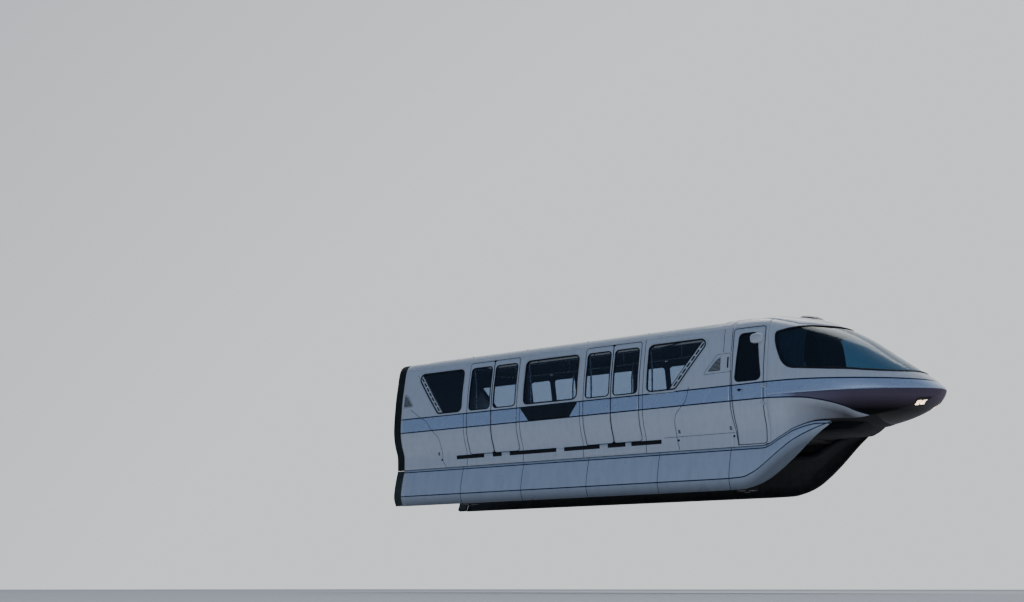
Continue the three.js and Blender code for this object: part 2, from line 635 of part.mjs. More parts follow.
function buildSeats() {
  const bench = (points) => sidePrism(points, 25, -1000, 1000);
  const back = BULKHEAD_X - 5;
  const facing = (sign, shift) => [
    [back, FLOOR_TOP + GAP], [back, 1035], [back - 90, 1035], [back - 150, 530], [back - 560, 545],
    [back - 560, 420], [back - 430, 400], [back - 400, FLOOR_TOP + GAP],
  ].map(([x, z]) => [sign * x + shift, z]);
  addPiece('bench_front', bench(facing(1, 0)), 'fabric');
  addPiece('bench_rear', bench(facing(-1, 0)), 'fabric');
  const half = [[350, FLOOR_TOP + GAP], [380, 400], [540, 420], [540, 545], [130, 530], [70, 1120]];
  const centre = [...half, ...half.slice().reverse().map(([x, z]) => [-x, z])].map(([x, z]) => [x - 70, z]);
  addPiece('bench_centre', bench(centre), 'fabric');
}

function buildCabInside() {
  const well = box(JOINT_X, 6150 - GAP, -590 + GAP, 590 - GAP, FLOOR_TOP + GAP, 400);
  const core = noseBody(WALL - 10 + GAP, JOINT_X - 50, 7640).add(well);
  const desk = sidePrism([[6100, 150], [6250, 900], [5900, 960], [5900, 1010], [6350, 1060], [7150, 1010],
    [7250, 900], [6700, 150]], 20, -620, 620);
  addPiece('console', desk.intersect(core), 'grey');
  const seat = sidePrism([[5350, FLOOR_TOP + GAP], [5480, 450], [5260, 470], [5130, 1230], [5230, 1240],
    [5370, 590], [5820, 580], [5820, 470], [5650, 450], [5650, FLOOR_TOP + GAP]], 20, -260, 260);
  addPiece('driver_seat', seat.intersect(core), 'fabric');
}

// Bogies

function latheAcross(profile, x, z, segments) {
  const geometry = new THREE.LatheGeometry(profile.map(([y, r]) => new THREE.Vector2(r, y)), segments);
  geometry.translate(x, 0, z);
  return solid(geometry);
}

function buildBogie(name, x) {
  let frame = null;
  const join = (shape) => {
    frame = frame ? frame.add(shape) : shape;
  };
  for (const sign of [1, -1]) {
    const span = (y0, y1) => (sign > 0 ? [y0, y1] : [-y1, -y0]);
    join(box(x - 460, x + 460, ...span(350, 430), -60, 560));
    join(box(x - 150, x + 150, ...span(400, 700), 560 - 80, 640));
    for (const end of [-1, 1]) {
      const arm = [x + end * (GUIDE_X - 75), x + end * (GUIDE_X + 75)].sort((a, b) => a - b);
      join(box(...arm, ...span(360, 625), -60, 30));
      join(uprightCylinder(x + end * GUIDE_X, sign * GUIDE_Y, -240, -50, PIN_RADIUS, 14));
      join(uprightCylinder(x + end * GUIDE_X, sign * GUIDE_Y, -245, -224, 60, 14));
    }
    join(box(x - 85, x + 85, ...span(365, 450), -760, 30));
    join(box(x - 85, x + 85, ...span(365, 625), -760, -690));
    join(uprightCylinder(x, sign * GUIDE_Y, -930, -700, PIN_RADIUS, 14));
    join(uprightCylinder(x, sign * GUIDE_Y, -935, -914, 60, 14));
  }
  for (const end of [-1, 1]) {
    const beam = [x + end * 390, x + end * 460].sort((a, b) => a - b);
    join(box(...beam, -400, 400, 35, 140));
  }
  frame = frame.subtract(crossCylinder(x, LOAD_RADIUS, -435, 435, AXLE_RADIUS + 0.9, 24));
  for (const [y0, y1] of [[429, 880], [-880, -429]]) frame = frame.add(box(x - 230, x + 230, y0, y1, 130, 530));
  addPiece(`${name}_bogie_frame`, frame, 'steel');

  // Axle with its twin tyres. Columns: y, radius.
  const half = [[0, 190], [32, 190], [32, 430], [70, 480], [250, 480], [285, 430], [285, 290], [235, 270],
    [235, 110], [290, AXLE_RADIUS], [AXLE_END, AXLE_RADIUS], [AXLE_END, 0]];
  const profile = [...half.slice(1).reverse().map(([y, r]) => [-y, r]), ...half];
  addPiece(`${name}_axle_and_tyres`, latheAcross(profile, x, LOAD_RADIUS, 24), 'tyre');

  // Guide and stabilising wheels. Columns: name, x, height.
  const wheels = [['front_guide', GUIDE_X, GUIDE_Z], ['rear_guide', -GUIDE_X, GUIDE_Z],
    ['stabiliser', 0, STABILISER_Z]];
  const section = [[35.9, -50], [110, -50], [205, -65], [220, -45], [220, 45], [205, 65], [110, 50],
    [35.9, 50], [35.9, -50]];
  for (const [kind, dx, z] of wheels) {
    for (const [side, sign] of SIDES) {
      const wheel = new THREE.LatheGeometry(section.map(([r, h]) => new THREE.Vector2(r, h)), 18);
      wheel.rotateX(Math.PI / 2);
      wheel.translate(x + dx, sign * GUIDE_Y, z);
      addPiece(`${name}_bogie_${kind}_wheel_${side}`, solid(wheel), 'tyre');
    }
  }
}

buildSaloon();
buildFloor();
buildWheelHousing('front_wheel_housing', 1, JOINT_X);
buildWheelHousing('rear_wheel_housing', -1, TAIL_X);
buildCab();
buildSkirts();
buildBellows();
buildDrawbar();
buildSeats();
buildCabInside();
buildBogie('front', BOGIE_X);
buildBogie('rear', -BOGIE_X);

export default group;
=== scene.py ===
# %% [markdown]
# # An end car of a monorail
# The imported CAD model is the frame: it says where every piece is and how it moves. This script dresses
# it. Thin, smooth surfaces worked out with numpy take the place of the plain solids, and each finish is
# built from nodes. One unit is one metre, +X points to the nose, +Y to the car's left and +Z up.

# %% The frame
import math
import bpy
import bmesh
import numpy as np
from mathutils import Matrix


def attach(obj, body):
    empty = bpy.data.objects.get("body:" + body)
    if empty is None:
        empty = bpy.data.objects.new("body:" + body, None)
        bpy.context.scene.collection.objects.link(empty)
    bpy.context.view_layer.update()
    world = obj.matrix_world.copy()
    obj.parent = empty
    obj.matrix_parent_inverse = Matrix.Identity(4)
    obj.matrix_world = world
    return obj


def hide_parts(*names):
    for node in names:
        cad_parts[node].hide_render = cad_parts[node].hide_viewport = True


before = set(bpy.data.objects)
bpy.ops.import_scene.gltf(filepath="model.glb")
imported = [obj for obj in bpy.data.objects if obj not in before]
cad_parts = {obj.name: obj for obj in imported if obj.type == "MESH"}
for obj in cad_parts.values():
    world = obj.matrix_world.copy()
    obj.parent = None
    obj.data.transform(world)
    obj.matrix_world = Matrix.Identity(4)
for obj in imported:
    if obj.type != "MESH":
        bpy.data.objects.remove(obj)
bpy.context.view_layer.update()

# %% [markdown]
# The camera comes first, because everything is judged through it. The photograph was taken from ground
# level, well ahead of the car and to its right, looking slightly up. A camera can be solved from a
# photograph: upright edges give its tilt, the body's long lines meet at a vanishing point that gives its
# heading, and one known width gives the distance. A vertical shift keeps the horizon where it was.

# %% Camera
CAMERA_PLACE = (14.656, -23.232, -2.899)
HEADING, TILT = math.radians(35.602), math.radians(5.535)

lens = bpy.data.cameras.new("camera")
lens.sensor_width = 36.0
lens.lens = 43.945
lens.shift_y = 0.162
lens.clip_end = 400.0
camera = bpy.data.objects.new("camera", lens)
bpy.context.scene.collection.objects.link(camera)
camera.location = CAMERA_PLACE
camera.rotation_euler = (math.pi / 2 + TILT, 0.0, HEADING)
bpy.context.scene.camera = camera
print("camera at", CAMERA_PLACE, "heading", round(math.degrees(HEADING), 1),
      "tilt", round(math.degrees(TILT), 1))

# %% [markdown]
# A car body of this kind is pressed and moulded over frames, so its section changes slowly and without
# corners. A curve through a few measured knots could be a Bezier curve, but a monotone cubic is easier to
# trust: it never swings past its knots, so a wall can't ripple.

# %% A steady curve through knots
def steady(knots_x, knots_y, x):
    """Monotone cubic. The slope at an inner knot is the weighted harmonic mean of the slopes of the two
    spans beside it, or zero where they differ in sign; between knots runs the cubic with those slopes."""
    knots_x, knots_y = np.asarray(knots_x, float), np.asarray(knots_y, float)
    span = np.diff(knots_x)
    rise = np.diff(knots_y) / span
    slope = np.empty_like(knots_y)
    same = rise[:-1] * rise[1:] > 0
    one, two = 2 * span[1:] + span[:-1], span[1:] + 2 * span[:-1]
    mean = (one + two) / (one / np.where(same, rise[:-1], 1) + two / np.where(same, rise[1:], 1))
    slope[1:-1] = np.where(same, mean, 0)
    slope[0], slope[-1] = rise[0], rise[-1]
    x = np.clip(x, knots_x[0], knots_x[-1])
    i = np.clip(np.searchsorted(knots_x, x) - 1, 0, len(span) - 1)
    t = (x - knots_x[i]) / span[i]
    ends = knots_y[i] * (1 + t * t * (2 * t - 3)) + knots_y[i + 1] * t * t * (3 - 2 * t)
    return ends + span[i] * (slope[i] * t * (1 - t) ** 2 + slope[i + 1] * t * t * (t - 1))


def ease(x, start, end):
    """0 before start, 1 after end, and 3t^2 - 2t^3 between them."""
    t = np.clip((np.asarray(x, float) - start) / (end - start), 0, 1)
    return t * t * (3 - 2 * t)


print("steady(1.5) through 0, 1, 4:", round(float(steady([0, 1, 2], [0, 1, 4], 1.5)), 3))

# %% [markdown]
# The whole body is one surface of two parameters: x along the car and s around it. s is 0 on the crease
# at the widest height, 1 on the roof's centre line and -1 on the centre line below. The tables hold half
# a section as shares of its width and height, and the nose's crown and lowest line at stations along x.
# Towards the tip both are read against the root of the distance to it, which rounds the nose off.

# %% The body as one surface
TAIL, JOINT, NARROW, TIP = -4.210, 4.150, 4.850, 7.870
HALF_WIDTH, CREASE, FOOT, GUTTER = 1.320, 0.750, -0.180, 2.190
UPPER = np.array([[1, 0], [.9925, .1155], [.970, .292], [.952, .419], [.9076, .611], [.860, .802],
                  [.822, .872], [.765, .919], [.682, .948], [.530, .974], [.265, .994], [0, 1]])
LOWER = np.array([[1, 0], [.996, .116], [.987, .232], [.9735, .316], [.958, .410], [.934, .495],
                  [.909, .584], [.890, .674], [.884, .832], [.8826, 1], [.5, 1], [0, 1]])
# The body's foot: its s, and its share of the half width at the crease.
FOOT_S, FOOT_SHARE = -9 / 11, .8826
# From where to where along x the section turns into an ellipse, over and under the crease, and how far.
ROUND_OVER, ROUND_UNDER, MOST_UNDER = (4.4, 6.9), (5.3, 7.2), .85
# Columns: x, crown height, lowest height.
NOSE = np.array([[4.15, 2.415, -.18], [4.75, 2.415, -.18], [5.15, 2.365, 0], [5.39, 2.325, .12],
                 [5.83, 2.205, .215], [6.15, 2.065, .2], [6.52, 1.85, .16], [6.76, 1.675, .19],
                 [7.03, 1.465, .24], [7.3, 1.265, .32], [7.54, 1.075, .43], [7.7, .945, .52],
                 [7.8, .85, .62], [7.862, .785, .735], [7.87, .76, .755]])


def unit(v):
    return v / np.maximum(np.linalg.norm(v, axis=-1, keepdims=True), 1e-12)


def from_tip(x):
    """Less the root of the distance to the tip, so that it grows towards the nose."""
    return -np.sqrt(np.maximum(TIP - x, 0))

def body(x, s):
    """(half width, height) of the body. The shares of the section at s slide along their rays towards an
    ellipse as x nears the tip, then widths scale by an ellipse in plan and heights by the nose's lines."""
    x, s = np.broadcast_arrays(np.asarray(x, float), np.asarray(s, float))
    knots = np.arange(len(UPPER), dtype=float)
    up, down = np.clip(s, 0, 1) * knots[-1], np.clip(-s, 0, 1) * knots[-1]
    upper = s >= 0
    y = np.where(upper, steady(knots, UPPER[:, 0], up), steady(knots, LOWER[:, 0], down))
    h = np.where(upper, steady(knots, UPPER[:, 1], up), steady(knots, LOWER[:, 1], down))
    rounding = np.where(upper, ease(x, *ROUND_OVER), MOST_UNDER * ease(x, *ROUND_UNDER))
    slide = 1 + (1 / np.maximum(np.hypot(y, h), 1e-6) - 1) * rounding
    crown = steady(from_tip(NOSE[:, 0]), NOSE[:, 1], from_tip(x))
    lowest = steady(from_tip(NOSE[:, 0]), NOSE[:, 2], from_tip(x))
    along = np.clip((x - NARROW) / (TIP - NARROW), 0, 1)
    width = HALF_WIDTH * np.sqrt(np.maximum(0, 1 - along * along))
    return y * slide * width, CREASE + h * slide * np.where(upper, crown - CREASE, lowest - CREASE)


def s_at(x, z):
    """The s at which the body at x has height z, found by halving the span 34 times."""
    x, z = np.broadcast_arrays(np.asarray(x, float), np.asarray(z, float))
    low, high = np.full(x.shape, FOOT_S), np.ones(x.shape)
    for _ in range(34):
        middle = (low + high) / 2
        above = body(x, middle)[1] > z
        high, low = np.where(above, middle, high), np.where(above, low, middle)
    return (low + high) / 2


def skin(x, s, side, lift=0.0):
    """Points (..., 3) on the body. side is -1 on the car's right and +1 on its left. lift moves them
    along the surface's normal, which is the cross product of its slopes along x and s."""
    x, s = np.broadcast_arrays(np.asarray(x, float), np.asarray(s, float))

    def place(x, s):
        y, z = body(x, s)
        return np.stack([x, y * side, z], -1)

    points = place(x, s)
    if np.any(np.asarray(lift) != 0.0):
        points = points + normal_at(x, s, side) * np.asarray(lift)[..., None]
    return points


def normal_at(x, s, side):
    """Unit normals, pointing outwards: the cross product of two small differences. At the tip they are
    taken 2 to 4 mm short of it, where the slopes are still finite."""
    x, s = np.broadcast_arrays(np.asarray(x, float), np.asarray(s, float))
    step = 1e-4
    back, ahead = np.clip(x - step, None, TIP - .004), np.clip(x + step, None, TIP - .002)
    under, over = np.clip(s - step, -1, None), np.clip(s + step, None, 1)
    mid = np.clip(x, None, TIP - .003)
    rows = [skin(a, b, side) for a, b in ((back, s), (ahead, s), (mid, under), (mid, over))]
    return unit(np.cross(rows[1] - rows[0], rows[3] - rows[2]) * -side)


def wall(x, z, side, lift=0.0):
    """Points on the body given by x and height."""
    return skin(x, s_at(x, z), side, lift)


print("half width at the crease", float(body(0, 0)[0]),
      "and at the gutter", round(float(body(0, s_at(0, GUTTER))[0]), 3))

# %% [markdown]
# Every new piece is a set of patches. A patch is a grid of points and its quads. Patches of a piece are
# welded where they meet, turned to face outwards and put on the body of the CAD model that carries them.
# Walls are real: a skin gets its thickness from a Solidify modifier that grows inwards.

# %% Patches and pieces
def patch(points, mat=0, wrap_rows=False, wrap_columns=False):
    """A grid (rows, columns, 3) as one patch: each cell between neighbouring rows and columns is a quad."""
    points = np.asarray(points, float)
    rows, columns = points.shape[:2]
    i = np.arange(rows if wrap_rows else rows - 1)[:, None]
    j = np.arange(columns if wrap_columns else columns - 1)[None, :]
    k, m = (i + 1) % rows, (j + 1) % columns
    corners = (i * columns + j, i * columns + m, k * columns + m, k * columns + j)
    return points.reshape(-1, 3), np.stack(np.broadcast_arrays(*corners), -1).reshape(-1, 4), mat


def quad_normals(points, quads):
    """The cross product of each quad's diagonals."""
    corner = points[quads]
    return np.cross(corner[:, 2] - corner[:, 0], corner[:, 3] - corner[:, 1])


def facing(one, centre_z=0.9):
    """The patch turned so that on the whole it faces away from the car's centre line."""
    points, quads, mat = one
    away = points[quads].mean(1) * [0, 1, 1] - [0, 0, centre_z]
    return one if (quad_normals(points, quads) * away).sum() > 0 else (points, quads[:, ::-1], mat)


def sheet(grid, side, lift=0.0, wraps=False):
    """A grid of (x, height) pairs as a patch on the body, facing outwards."""
    return facing(patch(wall(grid[..., 0], grid[..., 1], side, lift), wrap_columns=wraps))


def mirrored(patches):
    """The same patches on the other side of the car: y changes sign and each quad turns round."""
    return [(points * [1, -1, 1], quads[:, ::-1], mat) for points, quads, mat in patches]


PIECES = {}
WELD_DISTANCE = 1e-4


def piece(name, patches, materials, rides="car", replaces=(), closed=True,
          wall_thickness=0.0, lining=None, rim=None, crease_angle=None, thin_past=None):
    """Joins patches into one mesh object, welds it, gives it materials and puts it on its body. A skin
    grows a wall inwards, whose inner face and edges can have finishes of their own, and which thins towards
    the tip from thin_past on. A piece without a wall is a closed solid, unless closed is False."""
    counts = np.cumsum([0] + [len(p[0]) for p in patches])
    mesh = bpy.data.meshes.new(name)
    corners = np.concatenate([p[0] for p in patches])
    faces = [tuple(face) for start, p in zip(counts, patches) for face in (np.asarray(p[1]) + start).tolist()]
    mesh.from_pydata(corners.tolist(), [], faces)
    mesh.polygons.foreach_set("material_index", np.concatenate([np.full(len(p[1]), p[2]) for p in patches]))
    for material in materials:
        mesh.materials.append(material)
    work = bmesh.new()
    work.from_mesh(mesh)
    bmesh.ops.remove_doubles(work, verts=work.verts, dist=WELD_DISTANCE)
    bmesh.ops.dissolve_degenerate(work, edges=work.edges, dist=1e-6)
    if closed and not wall_thickness:
        bmesh.ops.recalc_face_normals(work, faces=work.faces)
    work.to_mesh(mesh)
    work.free()
    mesh.polygons.foreach_set("use_smooth", np.ones(len(mesh.polygons), bool))
    obj = bpy.data.objects.new(name, mesh)
    bpy.context.scene.collection.objects.link(obj)
    if crease_angle is not None:
        mesh.set_sharp_from_angle(angle=math.radians(crease_angle))
    if wall_thickness:
        solid = obj.modifiers.new("wall", "SOLIDIFY")
        solid.thickness, solid.offset = wall_thickness, -1.0
        if thin_past is not None:
            group = obj.vertex_groups.new(name="wall")
            share = np.clip((TIP - .02 - read_points(obj)[:, 0]) / (TIP - thin_past), .02, 1)
            for value in np.unique(share.round(2)):
                group.add(np.flatnonzero(share.round(2) == value).tolist(), float(value), "REPLACE")
            solid.vertex_group = "wall"
        if lining is not None:
            mesh.materials.append(lining)
            solid.material_offset = len(mesh.materials) - 1
        if rim is not None:
            mesh.materials.append(rim)
            solid.material_offset_rim = len(mesh.materials) - 1
    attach(obj, rides)
    if replaces:
        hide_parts(*replaces)
    PIECES[name] = obj
    return obj


def read_points(obj):
    """The mesh's vertices as rows of x, y and z."""
    flat = np.empty(len(obj.data.vertices) * 3, np.float32)
    obj.data.vertices.foreach_get("co", flat)
    return flat.reshape(-1, 3).astype(float)


def mark(obj, **values):
    """Stores a number on each vertex for the paint to read, such as its height over a painted line."""
    for name, value in values.items():
        attribute = obj.data.attributes.new(name, "FLOAT", "POINT")
        attribute.data.foreach_set("value", np.asarray(value, np.float32))
    return obj


# %% [markdown]
# Windows, doors and their rubbers all follow outlines with rounded corners. One function makes such an
# outline as four chains, each from the middle of one corner's arc to the middle of the next. Two
# outlines with the same counts can be joined cell by cell, which gives a panel with a hole in it, and the
# four chains of one outline can be filled like a sheet stretched over a frame.

# %% Rounded outlines
def chain_through(points, cells, arc_share=None, arc=(0.0, 0.0)):
    """A polyline read at cells + 1 places. With arc_share, that many cells lie on each end's arc."""
    points = np.asarray(points, float)
    run = np.concatenate([[0], np.cumsum(np.linalg.norm(np.diff(points, axis=0), axis=1))])
    if arc_share:
        at = np.concatenate([np.linspace(0, arc[0], arc_share + 1)[:-1],
                             np.linspace(arc[0], run[-1] - arc[1], cells - 2 * arc_share + 1),
                             np.linspace(run[-1] - arc[1], run[-1], arc_share + 1)[1:]])
    else:
        at = np.linspace(0, run[-1], cells + 1)
    return np.stack([np.interp(at, run, points[:, k]) for k in range(points.shape[1])], -1)


def outline(corners, radius, cells, arc_share=4, bends=None):
    """Four chains of a rounded outline. corners are four (a, b) pairs in order; cells counts the cells of
    each chain. An arc of the radius touches both edges at a distance radius * tan(turn / 2) from a corner.
    bends adds a point to a chain, by its number, where an edge isn't straight."""
    corners = np.asarray(corners, float)
    bends = bends or {}
    halves = []
    for k in range(4):
        here = corners[k]
        before = np.asarray(bends.get((k - 1) % 4, corners[k - 1]), float)
        after = np.asarray(bends.get(k, corners[(k + 1) % 4]), float)
        back, ahead = unit(before - here), unit(after - here)
        turn = math.pi - math.acos(float(np.clip(back @ ahead, -1, 1)))
        reach = radius * math.tan(turn / 2)
        start, end = here + back * reach, here + ahead * reach
        middle = unit(back + ahead)
        centre = here + middle * math.hypot(radius, reach)
        angles = np.linspace(-turn / 2, turn / 2, 17)
        side = np.array([-middle[1], middle[0]])
        if side @ (start - end) > 0:
            side = -side
        arc = centre - radius * (np.cos(angles)[:, None] * middle - np.sin(angles)[:, None] * side)
        halves.append((arc[:9], arc[8:], radius * turn / 2))
    chains = []
    for k in range(4):
        nxt = (k + 1) % 4
        middle = [np.asarray(bends[k], float)[None]] if k in bends else []
        line = np.concatenate([halves[k][1]] + middle + [halves[nxt][0]])
        chains.append(chain_through(line, cells[k], arc_share, (halves[k][2], halves[nxt][2])))
    return chains


def loop_of(chains):
    """The four chains as one closed ring of points."""
    return np.concatenate([chain[:-1] for chain in chains])


def between(outer, inner, rings):
    """A grid from one closed ring to another: each ring is a straight blend of the two."""
    t = np.linspace(0, 1, rings + 1)[:, None, None]
    return outer[None] * (1 - t) + inner[None] * t


def filled(chains):
    """A grid stretched over four chains: the blend of opposite chains both ways, less the blend of the
    corners (a Coons patch)."""
    south, east, north, west = chains[0], chains[1], chains[2][::-1], chains[3][::-1]
    u = np.linspace(0, 1, len(south))[None, :, None]
    v = np.linspace(0, 1, len(west))[:, None, None]
    across = west[:, None] * (1 - u) + east[:, None] * u
    along = south[None] * (1 - v) + north[None] * v
    corners = (south[0] * (1 - u) * (1 - v) + south[-1] * u * (1 - v)
               + north[0] * (1 - u) * v + north[-1] * u * v)
    return across + along - corners


def smooth_line(points, cells=40):
    """A curve through a few points: both coordinates follow the running number of the point."""
    points = np.asarray(points, float)
    at = np.linspace(0, len(points) - 1, cells + 1)
    return np.stack([steady(np.arange(len(points)), points[:, k], at) for k in (0, 1)], -1)


# %% [markdown]
# Rubbers, frames, rails, seams and pipes are profiles carried along a path. The profile lies in the plane
# square to the path: one axis runs along the surface, the other stands out from it. Its base is sunk 4 mm,
# so that no gap shows under it where the surface curves. Knobs, rods and discs are profiles turned about
# an axis.

# %% Profiles along paths
SUNK = .004


def carried(path, outward, profile, closed=True):
    """A profile (across, out) carried along a path. At each point the tangent is the difference of its
    neighbours, and across is the cross product of the outward direction and the tangent."""
    path, outward = np.asarray(path, float), np.broadcast_to(np.asarray(outward, float), np.shape(path))
    tangent = np.roll(path, -1, 0) - np.roll(path, 1, 0) if closed else np.gradient(path, axis=0)
    tangent = unit(tangent)
    across = unit(np.cross(outward, tangent))
    out = unit(np.cross(tangent, across))
    profile = np.asarray(profile, float)
    rings = path[:, None] + across[:, None] * profile[None, :, :1] + out[:, None] * profile[None, :, 1:]
    face = np.arange(len(profile))[None]
    ends = [] if closed else [(rings[0], face, 0), (rings[-1], face, 0)]
    return [patch(rings, wrap_rows=closed, wrap_columns=True)] + ends


def round_profile(width, height):
    """A low dome on a sunk base, for rubbers and gutters: its height goes as a sine to the power 0.6."""
    t = np.linspace(0, math.pi, 9)
    dome = np.stack([-np.cos(t) * width / 2, np.sin(t) ** .6 * height], -1)
    return np.concatenate([dome, [[width / 2, -SUNK], [-width / 2, -SUNK]]])


def flat_profile(width, height, chamfer=None):
    """A flat strip with chamfered shoulders on a sunk base, for frames, covers and seams."""
    w, c = width / 2, height * .4 if chamfer is None else chamfer
    return [[-w, -SUNK], [-w, height - c], [-w + c, height], [w - c, height], [w, height - c], [w, -SUNK]]


def tube_profile(radius, cells):
    """A circle, for poles and piping."""
    t = np.arange(cells) * 2 * math.pi / cells
    return np.stack([np.cos(t) * radius, np.sin(t) * radius], -1)


def around(axis, cells):
    """The axis as a unit vector, and directions square to it at even steps of the angle."""
    axis = unit(np.asarray(axis, float))
    side = unit(np.cross(axis, [0, 0, 1] if abs(axis[2]) < .9 else [1, 0, 0]))
    t = np.arange(cells) * 2 * math.pi / cells
    return axis, np.cos(t)[:, None] * side + np.sin(t)[:, None] * np.cross(axis, side)


def turned(profile, centre, axis, cells):
    """A profile of (along, radius) turned about an axis through centre: along the axis and round it."""
    profile, (axis, spoke) = np.asarray(profile, float)[:, None], around(axis, cells)
    points = np.asarray(centre, float) + profile[..., :1] * axis + profile[..., 1:] * spoke
    return [patch(points, wrap_columns=True)]


def rod(centre, axis, low, high, radius, cells, end=None):
    """A round bar between two places along its axis. end is its radius at the high end, if it tapers."""
    pin = .001
    return turned([[low, pin], [low, radius], [high, end or radius], [high, pin]], centre, axis, cells)


def block(low, high, bevel=0.005):
    """A box with bevelled edges: four rings of a chamfered rectangle, inset at the top and the bottom, and
    two flat caps."""
    (x0, y0, z0), (x1, y1, z1) = low, high

    def ring(z, d):
        a, b, c, e = x0 + d, x1 - d, y0 + d, y1 - d
        k = bevel
        return [[a + k, c, z], [b - k, c, z], [b, c + k, z], [b, e - k, z],
                [b - k, e, z], [a + k, e, z], [a, e - k, z], [a, c + k, z]]

    rings = np.array([ring(z0, bevel), ring(z0 + bevel, 0), ring(z1 - bevel, 0), ring(z1, bevel)])
    caps = [(rings[0], np.arange(8)[None, ::-1], 0), (rings[3], np.arange(8)[None], 0)]
    return [patch(rings, wrap_columns=True)] + caps


def side_block(x, y, z, side, bevel):
    """A block on one side of the car. x, y and z are (from, to), and y counts outwards."""
    y = sorted((y[0] * side, y[1] * side))
    return block((x[0], y[0], z[0]), (x[1], y[1], z[1]), bevel)


print("patch kit ready")

# %% [markdown]
# Colours are written as the sRGB hex values that a paint shop or a colour picker would give, and one
# function turns them into the linear numbers that light is reckoned in. One more small function adds a
# node to a material, with its settings and its links, so that a finish reads from top to bottom.

# %% Colour and nodes
def linear(code):
    """sRGB hex to linear RGBA: a share up to 0.04045 is divided by 12.92, and a larger one becomes
    ((c + 0.055) / 1.055) ^ 2.4."""
    c = np.array([int(code[k:k + 2], 16) for k in (1, 3, 5)]) / 255
    c = np.where(c <= .04045, c / 12.92, ((c + .055) / 1.055) ** 2.4)
    return (*c.tolist(), 1.0)


def add(tree, kind, inputs=None, out=0, **settings):
    """Adds a node and gives back one of its outputs. inputs maps a socket to a value or to another node's
    output, and settings are the node's own properties."""
    node = tree.nodes.new("ShaderNode" + kind)
    for name, value in settings.items():
        setattr(node, name, value)
    for socket, value in (inputs or {}).items():
        if isinstance(value, bpy.types.NodeSocket):
            tree.links.new(value, node.inputs[socket])
        else:
            node.inputs[socket].default_value = value
    return node.outputs[out] if len(node.outputs) else node


def new_finish(name):
    """An empty material with its tree and its object coordinates, in metres."""
    material = bpy.data.materials.new(name)
    material.use_nodes = True
    tree = material.node_tree
    tree.nodes.clear()
    return material, tree, add(tree, "TexCoord", out="Object")


COLOUR = {"data_type": "RGBA"}
print("linear grey", [round(v, 3) for v in linear("#808080")])

# %% [markdown]
# The body is aluminium and moulded panels under a two-layer lacquer: white above and below, a silver-blue
# metallic belt between two navy pinstripes, and a dark plum underside that begins in a long blade on the
# nose. The real stripes are masked and sprayed, so their edges are sharp. Each vertex carries its height
# over each painted line, and the shader compares these numbers with the stripe's real half width.

# %% Painted lines
# Heights of each line at stations along x.
LINE_ONE = np.array([[-4.3, .985], [0, .993], [4.2, 1.004], [4.83, 1.012], [5.24, 1.011], [5.63, 1.003],
                     [6.37, .969], [7.04, .933], [7.36, .916], [7.64, .903], [7.87, .893]])
LINE_TWO = np.array([[-4.3, .668], [0, .682], [4.2, .700], [4.83, .700], [5.23, .684], [5.62, .652],
                     [5.98, .576], [6.32, .461], [6.5, .365], [6.71, .284], [6.85, .2], [7.87, .1]])
SHOULDER = np.array([[-4.3, .75], [6.0, .75], [6.4, .744], [7.05, .738], [7.4, .735], [7.66, .739],
                     [7.87, .75]])
# Half widths of the pinstripes on the body and on the skirts: 26 mm and 24 mm wide.
PINSTRIPE, SKIRT_PINSTRIPE, NAVY = .013, .012, "#141C38"


